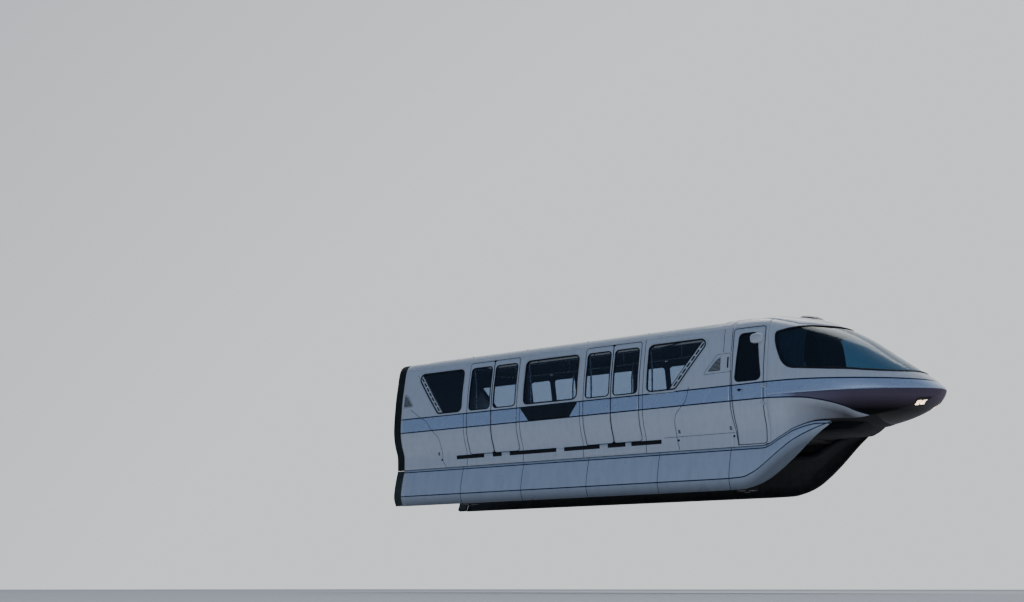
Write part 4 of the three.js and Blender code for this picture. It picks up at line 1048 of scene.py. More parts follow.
half_ring = np.concatenate([low_chain[::-1], rear_chain[1:], top_chain[1:]])
ring_points = np.concatenate([skin(*half_ring.T, -1), skin(*half_ring[-2:0:-1].T, 1)])
ring_normals = np.concatenate([normal_at(*half_ring.T, -1), normal_at(*half_ring[-2:0:-1].T, 1)])
piece("windscreen_rubber", carried(ring_points, ring_normals, round_profile(.040, .009)), [RUBBER])
print("windscreen:", len(PIECES["windscreen_glass"].data.polygons), "quads")

# %% [markdown]
# Behind the glass's rear part hangs a pleated blind on each side, which keeps a low sun out of the cab.
# Cloth on two rails folds into even waves, so a cosine along x is its shape.

# %% Cab blinds
# Coated blind cloth is dull and grey-brown, so that the pleats show through the dark glass.
BLIND = plain_paint("pleated_blind_cloth", "#96918A", "#AAA49C", (.8, .95), bump_scale=300.0, bump=.1)
for name, side in SIDES.items():
    x, s = np.meshgrid(np.linspace(5.03, 5.60, 64), np.linspace(.12, .80, 16))
    blind = facing(patch(skin(x, s, side, -.052 + .010 * np.cos(x * 2 * math.pi / .095))))
    piece(f"cab_blind_{name}", [blind], [BLIND], wall_thickness=.002)
print("blinds hung")

# %% [markdown]
# Each cab door follows the body as the passenger doors do, but it is hung on two outside knuckles at its
# front edge and swings forward. Everything fixed to it, from its rubber to the camera pod, rides with it.

# %% Cab doors
HINGE_X, HINGE_Y, HINGE_HEIGHTS = 4.840, 1.326, (.600, .940)
for name, side in SIDES.items():
    hung = f"cab_door_{name}"
    rear, front = (lambda z: 4.186 + .065 * np.clip((.90 - z) / 1.05, 0, 1)), (lambda z: 4.834 + 0 * z)
    shell = door_skin(rear, front, (-.144, .99, 2.134), CAB_WINDOW, CAB_WINDOW_RADIUS, .050, side)
    mark_body(piece(f"{hung}_panel", shell, [BODY], rides=hung, replaces=[hung],
                    wall_thickness=.022, lining=CAB_LINING, rim=RUBBER))
    rubber = bead(outline(CAB_WINDOW, CAB_WINDOW_RADIUS, [18, 28] * 2, 5), side, round_profile(.028, .006))
    piece(f"{hung}_rubber", rubber, [RUBBER], rides=hung)
    glass = pane(grown(CAB_WINDOW, .004), CAB_WINDOW_RADIUS, side, .008, 20)
    piece(f"{hung}_glass", [glass], [DOOR_GLASS], rides=hung,
          replaces=[f"cab_door_pane_{name}"], wall_thickness=.008)
    knuckles, lugs = [], []
    for z in HINGE_HEIGHTS:
        pin = (HINGE_X, HINGE_Y * side, z)
        knuckles += rod(pin, (0, 0, 1), -.013, .013, .011, 20)
        knuckles += side_block((4.780, 4.834), (1.318, 1.330), (z - .012, z + .012), side, .003)
        for low, high in ((-.038, -.015), (.015, .038)):
            lugs += rod(pin, (0, 0, 1), low, high, .011, 20)
            lugs += side_block((4.846, 4.888), (1.306, 1.330), (z + low, z + high), side, .003)
    piece(f"{hung}_knuckles", knuckles, [TRIM], rides=hung)
    piece(f"{hung}_lugs", lugs, [TRIM])
print("cab doors hung at x", HINGE_X)

# %% [markdown]
# A white pod with a lens looks back along the car from each cab door. It is a superellipsoid: an
# ellipsoid whose sines and cosines are raised to a power below one, which squares it off softly.

# %% Camera pods
def signed_power(v, power):
    """The value's size raised to a power, with its sign kept."""
    return np.sign(v) * np.abs(v) ** power


def squared(centre, radii, power=.6, rows=20, columns=32):
    """A superellipsoid: each sine and cosine keeps its sign and is raised to the power."""
    a, b = np.meshgrid(np.linspace(-math.pi / 2, math.pi / 2, rows + 1),
                       np.arange(columns) * 2 * math.pi / columns, indexing="ij")
    up, level, sine, cosine = (signed_power(v, power) for v in (np.sin(a), np.cos(a), np.sin(b), np.cos(b)))
    points = np.stack([level * cosine, level * sine, up], -1)
    return [patch(np.asarray(centre) + points * radii, wrap_columns=True)]


for name, side in SIDES.items():
    hung = f"cab_door_{name}"
    pod = squared((4.718, 1.290 * side, 1.872), (.128, .066, .092))
    arm = turned([[0, .001], [0, .030], [.12, .022], [.14, .001]],
                 (4.720, 1.160 * side, 1.880), (0, side, 0), 24)
    piece(f"pod_{name}_shell", pod + arm, [PALE_PLASTIC], rides=hung,
          replaces=[f"mirror_pod_{name}"])
    disc = turned([[0, .001], [0, .030], [-.006, .034], [-.008, .024], [-.006, .001]],
                  (4.594, 1.292 * side, 1.877), (1, 0, 0), 28)
    piece(f"pod_{name}_lens", disc, [DARK_PANEL], rides=hung)
print("pods done")

# %% [markdown]
# The headlamps lie flush in the underside of the nose: a dark bezel, and behind its clear cover warm
# lamps that are lit in the photograph.

# %% Headlamps
LAMP_CORNERS = np.array([(7.43, -.85), (7.50, -.69), (7.66, -.81), (7.57, -.90)])
COVER_CORNERS = np.array([(7.415, -.870), (7.52, -.575), (7.715, -.740), (7.585, -.925)])


def lamp_window(corners, share_from, share_to, radius):
    """A rounded part of the lamp's four corners, from one share of its length to another."""
    a, b, c, d = corners
    near, far = (np.array([a + (d - a) * share, b + (c - b) * share]) for share in (share_from, share_to))
    return outline(np.concatenate([near, far[::-1]]), radius, [10] * 4, 3)


for name, side in SIDES.items():
    cover = outline(COVER_CORNERS, .045, [14] * 4, 4)
    piece(f"headlamp_{name}_cover", [on_body(filled(cover), side, .003)], [SMOKED_COVER],
          replaces=[f"headlamp_{name}"], wall_thickness=.004)
    lamps = [on_body(filled(lamp_window(LAMP_CORNERS, *shares, .016)), side, .006)
             for shares in ((.04, .44), (.52, .93))]
    piece(f"headlamp_{name}_lamps", lamps, [LAMP], wall_thickness=.003)
    ring = loop_of(cover)
    bezel = carried(skin(*ring.T, side), normal_at(*ring.T, side), round_profile(.016, .006))
    piece(f"headlamp_{name}_bezel", bezel, [BLACK_AND_SLOT_SHADE])
print("headlamps done")

# %% [markdown]
# A low white fairing covers the cab's roof and a smoked dome stands on it. Both are moulded caps: the
# height over the roof falls from the middle as a rounded rectangle does.

# %% Roof dome
def roof_cap(name, x0, x1, half, height, material, shape=((-1, 1), (1, 1)), cells=30):
    """A cap on the roof: it stands height * (1 - |u|^6)^(1/3) * (1 - |v|^6)^(1/3) over the skin, times a
    curve through shape's (u, share) pairs. half gives its half width at x."""
    crowding = np.sin(np.linspace(-1, 1, cells + 1) * math.pi / 2)
    u, v = np.meshgrid(crowding, crowding)
    x = (x0 + x1) / 2 + u * (x1 - x0) / 2
    y = v * half(x)
    s = np.linspace(.3, 1, 400)
    ground = np.empty_like(x)
    for column in range(x.shape[1]):
        wide, high = body(np.full_like(s, x[0, column]), s)
        ground[:, column] = np.interp(np.abs(y[:, column]), wide[::-1], high[::-1])
    rise = height * ((1 - np.abs(u) ** 6) * (1 - np.abs(v) ** 6)) ** (1 / 3)
    rise *= steady(*np.array(shape, float).T, u)
    cap = facing(patch(np.stack([x, y, ground - SUNK + rise], -1)), 0)
    return piece(name, [cap], [material], closed=False)


# Beside the glass the fairing stays 70 mm inside the windscreen's edge.
fairing_half = lambda x: np.minimum(.900, np.where(x < 5.0, 9, body(x, steady(*TOP_EDGE.T, x))[0] - .070))
mark_body(roof_cap("roof_fairing", 4.27, 6.02, fairing_half, .050, BODY,
                   ((-1, .35), (-.75, .4), (-.1, 1), (.45, 1), (1, .2)), 48))
roof_cap("roof_dome", 5.19, 5.54, lambda x: .340, .104, DARK_PANEL)
print("roof caps done")

# %% [markdown]
# Under the cab floor hangs a belly pan, matte near black as painted shade. It closes the cab from below, and
# rises at its front to meet the nose.

# %% Belly pan
# Columns: x, half width, height of its floor.
PAN = np.array([[5.15, .64, .060], [5.30, .64, .042], [5.8, .62, .042], [6.25, .60, .042], [6.42, .56, .095],
                [6.56, .52, .180]])
# Its section from side to side: the sign of y, how far it lies inside the edge and its height.
ACROSS = np.array([[-1, 0, .26], [-1, 0, .18], [-1, 0, .10], [-1, 0, .04], [-1, .06, 0], [0, 0, 0],
                   [1, .06, 0], [1, 0, .04], [1, 0, .10], [1, 0, .18], [1, 0, .26]])
pan_x = np.linspace(5.15, 6.56, 60)[:, None]
half, floor = steady(PAN[:, 0], PAN[:, 1], pan_x), steady(PAN[:, 0], PAN[:, 2], pan_x)
y = ACROSS[:, 0] * (half - ACROSS[:, 1])
pan_points = np.stack([np.broadcast_to(pan_x, y.shape), y, floor + ACROSS[:, 2]], -1)
ends = [(pan_points[k], np.arange(len(ACROSS))[None], 0) for k in (0, -1)]
piece("belly_pan", [patch(pan_points)] + ends, [UNDERSIDE_SHADE], crease_angle=35)
piece("cab_floor_plate", block((4.16, -1.100, .027), (5.24, 1.100, .074), .004), [STEEL],
      crease_angle=30)
print("belly pan done")

# %% [markdown]
# The skirts hang down and hide the bogies. Each is a moulded shell: it slopes out from the
# body's foot to its widest line, turns under in a soft edge, and sweeps up under the nose. Its section is
# the same all along, and a table gives its heights.

# %% Skirts
# Columns: x, height of the widest line, height of the lower edge, how far the widest line stands out.
SWEEP = np.array([[-4.21, -.800, -1.020, 1], [3.9, -.800, -1.020, 1], [4.35, -.785, -1.012, 1],
                  [4.59, -.700, -.965, 1], [4.75, -.600, -.912, .97], [4.91, -.480, -.835, .95],
                  [5.15, -.290, -.665, .85], [5.39, -.120, -.460, .7], [5.83, .085, -.040, .45],
                  [6.08, .178, .160, .12]])
SKIRT_DROP, BULGE, TUCK = .010, .135, .080


def skirt(x, t, side, lift=0.0):
    """A point of the skirt. t runs from 0 at the top edge to 1 at the widest line and on to 2 at the lower
    edge. Over the widest line y grows as 1 - (1 - t)^1.5; under it y falls back by the power 1.8."""
    widest, low, proud = (steady(SWEEP[:, 0], SWEEP[:, k], x) for k in (1, 2, 3))
    foot, top = body(x, 0)[0] * FOOT_SHARE - .002, body(x, -1)[1] - SKIRT_DROP
    over, under = np.clip(t, 0, 1), np.clip(t - 1, 0, 1)
    y = foot + BULGE * proud * (1 - (1 - over) ** 1.5) - TUCK * proud * under ** 1.8 + lift
    z = top + (widest - top) * over + (low - widest) * under
    return np.stack(np.broadcast_arrays(x, side * y, z), -1)


skirt_x = np.concatenate([np.linspace(TAIL + .002, 4.1, 60), np.linspace(4.1, 6.08, 72)[1:]])
skirt_t = np.concatenate([np.linspace(0, .9, 14), np.linspace(.9, 1.15, 9)[1:], np.linspace(1.15, 2, 9)[1:]])
for name, side in SIDES.items():
    x, t = np.meshgrid(skirt_x, skirt_t)
    obj = piece(f"skirt_{name}_shell", [facing(patch(skirt(x, t, side)), -.6)], [SKIRT],
                replaces=[f"skirt_{name}"], wall_thickness=.028, lining=STEEL, rim=RUBBER)
    x, _, z = read_points(obj).T
    mark(obj, over_high_stripe=z - (body(x, -1)[1] - .060), over_low_stripe=z - steady(*SWEEP[:, :2].T, x))
    # A rubber seal behind the top edge closes the gap to the body. It drops towards the nose.
    x = np.linspace(TAIL + .01, 5.96, 120)
    inner, foot = body(x, 0)[0] * FOOT_SHARE - .040, body(x, -1)[1]
    seal = np.stack([np.stack([x, side * inner, foot + rise], -1)
                     for rise in (-.090, .050 - .035 * ease(x, 4.8, 5.4))])
    piece(f"skirt_{name}_seal", [facing(patch(seal), -.6)], [RUBBER],
          wall_thickness=.004)
print("skirts:", len(obj.data.polygons) * 2, "quads")

# %% [markdown]
# The car's tail ends in bellows of coated cloth, sewn over light frames. The fabric can
# only fold, so it shows as fine upright pleats. The body and the skirts have bellows of their own, and
# the lower ones are paler with road dust. One section line goes round the car, and the pleats push it in
# and out by a cosine along x.

# %% Bellows
def section_line(points, cells):
    """A section as (y, z) with its outward normals, at even steps."""
    line = chain_through(points, cells)
    ahead = unit(np.gradient(line, axis=0))
    return line, np.stack([ahead[:, 1], -ahead[:, 0]], -1)


s = np.linspace(FOOT_S, 1, 70)
half, z = body(np.full_like(s, TAIL), s)
upper = np.concatenate([np.stack([half, z], -1), np.stack([-half, z], -1)[-2::-1]])
t = np.linspace(0, 2, 30)
lower = skirt(np.full_like(t, TAIL), t, 1)[::-1, 1:]
BELLOWS_DEEP = .230


def pleated(points, cells, pleats, deep, inset, back=.06):
    """Bellows round a section: the pleated face, and a plain one a hand's breadth behind it."""
    line, out = section_line(points, cells)
    x = np.linspace(0, 1, pleats * 8 + 1)
    push = -inset - deep * (.5 - .5 * np.cos(x * pleats * 2 * math.pi + math.pi))
    ring = line[None] + out[None] * push[:, None, None]
    behind = np.broadcast_to(line[None] - out[None] * (inset + deep + back), ring.shape)
    at = np.broadcast_to((TAIL - .002 - BELLOWS_DEEP * x)[:, None, None], ring.shape[:2] + (1,))
    face, inside = np.concatenate([at, ring], -1), np.concatenate([at, behind], -1)
    return patch(np.concatenate([face, inside[::-1]]), wrap_rows=True)


piece("bellows_upper", [pleated(upper, 130, 5, .030, .004)], [BELLOWS],
      replaces=["bellows"])
low_bellows = pleated(lower, 26, 5, .026, .004)
piece("bellows_lower", [low_bellows] + mirrored([low_bellows]), [LOW_BELLOWS])
print("bellows:", len(PIECES["bellows_upper"].data.polygons), "quads")

# %% [markdown]
# Seams, slots and fittings give the side its scale. A seam is a dark strip a few millimetres wide that
# follows the panels. The doors run past a long slot at their foot, with small covers over its rollers.

# %% Seams
def on_wall(points, side, profile, cells=None, lift=0.0):
    """A profile along points given as (x, z), laid on the body, in steps of 40 mm unless cells says."""
    points = np.asarray(points, float)
    length = np.linalg.norm(np.diff(points, axis=0), axis=1).sum()
    x, z = chain_through(points, cells or max(2, int(length / .04))).T
    s = s_at(x, z)
    return carried(skin(x, s, side, lift), normal_at(x, s, side), profile, closed=False)


HATCH_SEAMS = [[(-3.93, 1.20), (-3.62, .99), (-3.49, .92), (-3.27, .66), (-3.09, .44), (-3.07, .20),
                (-3.07, 0), (-2.97, -.17)],
               [(3.25, 1.06), (3.19, .80), (3.07, .66), (2.95, .52), (2.91, .30), (2.91, .12), (2.97, -.16)]]
# Upright seams: x, upper end, lower end.
UPRIGHT_SEAMS = [(2.21, 2.16, -.17), (-.84, 1.0, -.17), (.70, 1.0, -.17), (-2.375, 1.0, -.17),
                 (3.98, 2.16, 1.69), (4.15, 2.16, 1.69)]
JAMB_SEAM = [(4.15, 1.31), (4.15, .76), (4.168, .45), (4.205, .12), (4.252, -.17)]
NARROW_SEAM = flat_profile(.010, .0012)
for name, side in SIDES.items():
    seams = []
    for line in HATCH_SEAMS:
        seams += on_wall(smooth_line(line), side, NARROW_SEAM)
    for x0, top, low in UPRIGHT_SEAMS:
        seams += on_wall([(x0, low), (x0, top)], side, NARROW_SEAM)
    seams += on_wall(smooth_line(JAMB_SEAM), side, flat_profile(.013, .0014))
    seams += on_wall([(2.62, .100), (4.18, .100)], side, flat_profile(.008, .0012))
    for _, meeting, _ in DOORWAYS.values():
        seams += on_wall([(meeting, DOOR_LOW), (meeting, 2.150)], side, flat_profile(.020, .0022))
    edges = [(outline(box_corners(*leaf, LEAF_LOW, LEAF_HIGH), DOOR_CORNER + .006, [24, 40] * 2, 6),
              flat_profile(.011, .0015)) for leaf in LEAVES.values()]
    cab_door = outline(grown(CAB_DOOR, -.001), .050, [24, 60] * 2, 6, CAB_DOOR_BEND)
    for chains, profile in edges + [(cab_door, flat_profile(.013, .0015))]:
        ring = loop_of(chains)
        seams += on_wall(np.concatenate([ring, ring[:1]]), side, profile, 160)
    for x0 in (-2.47, -.82, .84, 2.52, 4.09):
        x, t = np.full(40, x0), np.linspace(.01, 1.99, 40)
        path = skirt(x, t, side)
        seams += carried(path, skirt(x, t, side, 1.0) - path, flat_profile(.011, .0015), closed=False)
    piece(f"seams_{name}", seams, [SEAM])
print("seams on both sides")

# %% Gutters, door track, covers and latches
def spot(x, z, side):
    """The point of the body at x and a height, and the outward normal there."""
    x, s = np.array([x]), s_at(np.array([x]), np.array([z]))
    return skin(x, s, side)[0], normal_at(x, s, side)[0]


# Each list holds (from, to) along x.
LONG_GUTTER, SHORT_GUTTERS = (TAIL + .006, JOINT - .005), [(-2.36, -.86), (.71, 2.19), (4.20, 4.90)]
TRACK_SLOTS = [(-2.67, -1.90), (-1.66, -1.42), (-1.20, .02), (.22, 1.10), (1.30, 1.72), (1.86, 2.56)]
ROLLER_COVERS = [(-1.90, -1.66), (-1.42, -1.20), (.02, .22), (1.10, 1.30), (1.72, 1.86)]


def level_strips(spans, z, side, profile, cells):
    """Strips along the body at one height."""
    return [part for x0, x1 in spans for part in on_wall([(x0, z), (x1, z)], side, profile, cells)]


for name, side in SIDES.items():
    gutters = level_strips([LONG_GUTTER], 2.174, side, round_profile(.020, .010), 200)
    gutters += level_strips(SHORT_GUTTERS, 2.166, side, round_profile(.016, .018), 40)
    piece(f"gutters_{name}", gutters, [TRIM])
    # The door track's slot is a flat black strip on the skin: painted shade for the groove.
    track = level_strips(TRACK_SLOTS, .030, side, flat_profile(.085, .0015), 30)
    piece(f"door_track_{name}", track, [BLACK_AND_SLOT_SHADE])
    inset = [(x0 + .01, x1 - .01) for x0, x1 in ROLLER_COVERS]
    covers = level_strips(inset, .040, side, flat_profile(.030, .012, .004), 6)
    covers += on_wall([(.0, -.055), (.0, -.095)], side, flat_profile(.045, .014, .005), 3)
    piece(f"track_covers_{name}", covers, [TRIM])
    latches, knobs = [], []
    for x0, z0 in ((-3.17, .14), (2.98, .20), (4.10, .19)):
        for half, profile in ((.035, flat_profile(.046, .006, .002)), (.015, flat_profile(.014, .011, .003))):
            latches += on_wall([(x0, z0 - half), (x0, z0 + half)], side, profile, 3)
    for x0, z0 in ((-3.09, 0.0), (2.95, .03), (4.16, .03)):
        knob = [[-.002, .001], [-.002, .022], [.006, .022], [.009, .017], [.009, .001]]
        knobs += turned(knob, *spot(x0, z0, side), 24)
    piece(f"latches_{name}", latches, [ALLOY])
    piece(f"knobs_{name}", knobs, [BLACK_AND_SLOT_SHADE])
    place, out = spot(4.34, .90, side)
    dish = turned([[.001, .001], [.001, .022], [.004, .026], [.0, .029]], place, out, 32)
    path = place + np.array([[-.030, 0, .006], [0, 0, .004], [.060, 0, -.004]]) + out * .014
    lever = carried(path, out, flat_profile(.016, .006, .002), closed=False)
    piece(f"cab_door_{name}_handle", dish + lever, [BLACK_AND_SLOT_SHADE], rides=f"cab_door_{name}")
print("gutters, slots and latches done")

# %% [markdown]
# Air reaches the machines in the end bays through a louvred strip inside each slanted window and a
# small quarter grille in the corner beyond it. Under the middle window is a smoked panel.

# %% Louvres, grilles and the smoked panel
SLANTS = [((2.950, 1.050), (3.680, 2.020), -1), ((-3.120, 1.050), (-3.840, 2.020), 1)]
NETS = [[(3.665, 1.330), (3.925, 1.330), (3.925, 1.600), (3.830, 1.540)],
        [(-4.150, 1.290), (-3.900, 1.290), (-4.045, 1.485), (-4.150, 1.555)]]
QUARTER_LINES = [[(3.555, 1.275), (4.140, 1.285), (4.140, 1.662), (3.850, 1.655)],
                 [(3.650, 1.315), (3.940, 1.315), (3.940, 1.630), (3.835, 1.560)],
                 [(-4.165, 1.265), (-3.860, 1.265), (-4.030, 1.515), (-4.165, 1.590)]]
SMOKED = [(-.590, .675), (.430, .675), (.650, .985), (-.840, .985)]


def up_the_slant(low, high, offset, share):
    """The place at a share of a slanted edge's height, offset from the edge in x."""
    return np.array(low) + (np.array(high) - low) * share + [offset, 0]


def slanted(low, high, offset, width, share_low, share_high):
    """Corners of a strip beside a slanted edge: it starts offset from the edge in x and is width wide."""
    far = offset + width
    places = (offset, share_low), (far, share_low), (far, share_high), (offset, share_high)
    corners = np.array([up_the_slant(low, high, *place) for place in places])
    return corners if width < 0 else corners[[1, 0, 3, 2]]


def net_bars(chains, low, high, side):
    """Level bars every 26 mm across an outline, from its nearest point on one edge to that on the other."""
    ring, bars = loop_of(chains), []
    for z in np.arange(low + .025, high - .03, .026):
        inside = ring[np.abs(ring[:, 1] - z) < .03, 0]
        if len(inside) > 1 and np.ptp(inside) > .03:
            bar = [(inside.min() + .004, z), (inside.max() - .004, z)]
            bars += on_wall(bar, side, flat_profile(.007, .005), 6)
    return bars


for name, side in SIDES.items():
    strips, slots, edges = [], [], []
    for low, high, inward in SLANTS:
        corners = slanted(low, high, .004 * inward, .150 * inward, .012, .988)
        grid = filled([chain_through([corners[k], corners[(k + 1) % 4]], 12) for k in range(4)])
        strips.append(sheet(grid, side, -.005))
        # The louvre's slots are black sheets over the strip: painted shade for the openings.
        for k in range(7):
            share = .06 + k * .125
            corners = slanted(low, high, .058 * inward, .042 * inward, share, share + .098)
            slots.append(sheet(filled(outline(corners, .010, [6] * 4, 2)), side, -.0035))
        for offset in (.010, .144):
            line = [up_the_slant(low, high, offset * inward, share) for share in (.012, .988)]
            edges += on_wall(line, side, flat_profile(.014, .004), 24, -.004)
    piece(f"louvre_strips_{name}", strips, [PALE_PLASTIC], wall_thickness=.004)
    piece(f"louvre_slots_{name}", slots, [BLACK_AND_SLOT_SHADE], wall_thickness=.001)
    piece(f"louvre_edges_{name}", edges, [RUBBER])

    nets, rims = [], []
    for corners in NETS:
        chains = outline(corners, .012, [14] * 4, 3)
        nets.append(sheet(filled(chains), side, .0015))
        rims += bead(outline(grown(corners, .012), .02, [14] * 4, 3), side, round_profile(.016, .003))
        heights = [corner[1] for corner in corners]
        rims += net_bars(chains, heights[0], max(heights), side)
    lines = on_wall([(4.085, 1.365), (4.085, 1.585)], side, flat_profile(.030, .002), 6)
    for corners in QUARTER_LINES:
        lines += bead(outline(corners, .02, [16] * 4, 3), side, round_profile(.007, .0012))
    piece(f"quarter_lines_{name}", lines, [SEAM])
    piece(f"quarter_grilles_{name}", nets, [GRILLE], wall_thickness=.001)
    piece(f"quarter_rims_{name}", rims, [TRIM])

    panel = sheet(filled(outline(SMOKED, .018, [20, 12] * 2, 3)), side, .002)
    piece(f"smoked_panel_{name}", [panel], [DARK_PANEL], wall_thickness=.003)
    foot = on_wall([(-.585, .690), (.425, .690)], side, flat_profile(.030, .004), 30, .002)
    piece(f"smoked_panel_foot_{name}", foot, [BLACK_AND_SLOT_SHADE])
print("louvres, grilles and panel done")

# %% [markdown]
# In each bogie a pair of load tyres carries the car, four level guide wheels steer it from both sides and
# two stabilising wheels lower down keep it upright. Every wheel is a closed profile
# turned about its axle: a rubber tyre with grooves, and a pressed rim with bolts, so that a turning wheel
# shows that it turns. The tread's cross grooves lower the radius at every fourth step round the tyre.

# %% Wheels
BOGIES = {"front": 3.61, "rear": -3.61}
LOAD_HEIGHT = .480


def spun(profile, centre, axis, cells, notch=0.0, tread=None):
    """A closed profile of (along, radius) turned about an axis; notch lowers the points that tread names by
    that much at every fourth step of the angle."""
    profile, (axis, spoke) = np.asarray(profile, float), around(axis, cells)
    radius = np.repeat(profile[:, 1:], cells, 1)
    if notch:
        radius -= np.asarray(tread, float)[:, None] * notch * (np.arange(cells) % 4 == 0)
    points = np.asarray(centre, float) + profile[:, None, :1] * axis + radius[..., None] * spoke
    return patch(points, wrap_rows=True, wrap_columns=True)


def bolts(centre, axis, circle, count, radius=.011, height=.012, base=0.0):
    """Hexagon heads round a circle."""
    axis, spokes = around(axis, count)
    head = [[-.004, .0005], [-.004, radius], [height - .002, radius], [height, radius * .8], [height, .0005]]
    return [part for spoke in spokes
            for part in turned(head, np.asarray(centre) + spoke * circle + axis * base, axis, 6)]


def both_ways(half):
    """A profile from half of it: the same points again with the axis turned round."""
    return half + [(-along, radius) for along, radius in half[::-1]]


# Three grooves 12 mm deep run round the tread, 42 mm apart.
GROOVE = [(0, .480), (.002, .468), (.010, .468), (.012, .480)]
GROOVES = [(start + along, radius) for start in (.118, .160, .202) for along, radius in GROOVE]
TREAD = [(.090, .480)] + GROOVES + [(.245, .480)]
WALL_IN = [(.050, .285), (.038, .300), (.033, .360), (.036, .420), (.050, .458), (.072, .474)]
WALL_OUT = [(.264, .472), (.280, .444), (.285, .380), (.281, .300), (.268, .285)]
LOAD_TYRE = WALL_IN + TREAD + WALL_OUT
IS_TREAD = [0] * len(WALL_IN) + [1] * len(TREAD) + [0] * len(WALL_OUT)
LOAD_RIM = [(.052, .284), (.045, .292), (.060, .268), (.205, .262), (.232, .240), (.236, .180), (.232, .112),
            (.262, .104), (.290, .086), (.290, .061), (.034, .061), (.034, .200)]
LOAD_HUB = [(.270, .0005), (.270, .058), (.427, .058), (.427, .0005)]
GUIDE_TYRE = both_ways([(-.052, .150), (-.060, .165), (-.064, .195), (-.058, .212), (-.045, .220),
                        (-.022, .220), (-.019, .214), (-.013, .214), (-.010, .220)])
GUIDE_RIM = both_ways([(-.052, .150), (-.050, .134), (-.022, .128), (-.018, .080), (-.046, .070),
                       (-.050, .036)])
# What it is, how far it stands ahead of the axle, and its height.
LEVEL_WHEELS = (("front_guide", .330, -.150), ("rear_guide", -.330, -.150), ("stabiliser", 0, -.840))

for end, x0 in BOGIES.items():
    centre, axle = (x0, 0, LOAD_HEIGHT), f"{end}_axle"
    tyres, rims = [], []
    for side in (-1, 1):
        tyre, rim, hub = ([(a * side, r) for a, r in profile] for profile in (LOAD_TYRE, LOAD_RIM, LOAD_HUB))
        tyres.append(spun(tyre, centre, (0, 1, 0), 96, .007, IS_TREAD))
        rims.append(spun(rim, centre, (0, 1, 0), 64))
        rims += bolts((x0, .232 * side, LOAD_HEIGHT), (0, side, 0), .155, 10, base=.002)
        rims += turned(hub, centre, (0, 1, 0), 40)
    piece(f"{end}_load_tyres", tyres, [TYRE], rides=axle,
          replaces=[f"{end}_axle_and_tyres"], crease_angle=35)
    piece(f"{end}_load_rims", rims, [ALLOY], rides=axle, crease_angle=35)
    for kind, ahead, z in LEVEL_WHEELS:
        for name, side in SIDES.items():
            centre = (x0 + ahead, .550 * side, z)
            body_name = f"{end}_bogie_{kind}_{name}"
            piece(f"{end}_{kind}_{name}_tyre", [spun(GUIDE_TYRE, centre, (0, 0, 1), 64)], [TYRE],
                  rides=body_name, replaces=[f"{end}_bogie_{kind}_wheel_{name}"],
                  crease_angle=35)
            rim = [spun(GUIDE_RIM, centre, (0, 0, 1), 48)]
            for up in (-1, 1):
                rim += bolts((centre[0], centre[1], z + .018 * up), (0, 0, up), .103, 6, .009, .009)
            piece(f"{end}_{kind}_{name}_rim", rim, [ALLOY], rides=body_name,
                  crease_angle=35)
print("wheels:", len(BOGIES) * (1 + 2 * len(LEVEL_WHEELS)))

# %% [markdown]
# The bogie's welded frame is right as the CAD model has it and only needs its dusty chassis paint. Over
# it go the parts that a fitter would look for: bolted covers on the motor boxes, ribs on the side plates
# and air springs with their rolled convolutions.

# %% Bogie details
for end, x0 in BOGIES.items():
    ribs, heads, springs = [], [], []
    for side in (-1, 1):
        for dx in (-.42, -.30, .30, .42):
            ribs += side_block((x0 + dx - .008, x0 + dx + .008), (.430, .452), (-.02, .53), side, .003)
        ribs += side_block((x0 - .20, x0 + .20), (.879, .892), (.16, .50), side, .004)
        for dx, z in ((dx, z) for dx in (-.17, 0, .17) for z in (.19, .33, .47) if dx or z != .33):
            heads += bolts((x0 + dx, .892 * side, z), (0, side, 0), 0.0, 1, .010, .010)
        collar = [(-.004, .060), (-.004, .125), (.010, .125), (.010, .060)]
        ribs.append(spun(collar, (x0, .891 * side, .33), (0, side, 0), 40))
        for k in range(3):
            ring = .112 + .016 * math.sin(math.pi * (k + .5) / 3)
            roll = [(-.024, .090), (-.018, ring), (0, ring + .020), (.018, ring), (.024, .090)]
            springs.append(spun(roll, (x0, .560 * side, .675 + k * .052), (0, 0, 1), 48))
    piece(f"{end}_bogie_ribs", ribs + heads, [STEEL], rides=f"{end}_bogie",
          crease_angle=30)
    piece(f"{end}_air_springs", springs, [RUBBER])
print("bogie details done")

# %% [markdown]
# Through the tinted glass one sees benches across the car, steel poles by the doors, the ceiling and the
# windows of the far side. The seats are moulded shells with padded cushions. A cushion is a rounded box
# whose top is crowned and whose sides pull in a little between its corners, as a sewn cover does over foam.

# %% Cushions
PAD_POWER = .32


def leaned(points, lean):
    """Points turned about the y axis by an angle."""
    c, s = math.cos(lean), math.sin(lean)
    return points @ np.array([[c, 0, -s], [0, 1, 0], [s, 0, c]])


def cushion(centre, size, lean=0.0, crown=.010, pull=.018):
    """A superellipsoid pad. Its top rises by crown * (1 - u^2)(1 - v^2), its sides move in by pull times
    (1 - v^2), and the pad then leans about its middle in the x-z plane."""
    points, quads, mat = squared((0, 0, 0), np.asarray(size) / 2, PAD_POWER, 18, 40)[0]
    u, v, w = (points / (np.asarray(size) / 2)).T
    points = points.copy()
    points[:, 2] += crown * (1 - u ** 2) * (1 - v ** 2) * np.sign(w)
    points[:, 0] *= 1 - pull * (1 - v ** 2) * 2
    points[:, 1] *= 1 - pull * (1 - u ** 2)
    return leaned(points, lean) + centre, quads, mat


def piping(centre, size, lean=0.0, radius=.005):
    """The sewn edge of a pad: a thin tube round its widest line."""
    t = np.linspace(0, 2 * math.pi, 65)[:-1]
    x, y = signed_power(np.cos(t), PAD_POWER) * size[0], signed_power(np.sin(t), PAD_POWER) * size[1]
    ring = leaned(np.stack([x / 2 * .985, y / 2 * .99, 0 * t], -1), lean)
    return carried(ring + centre, leaned(np.array([0, 0, 1.0]), lean), tube_profile(radius, 8))


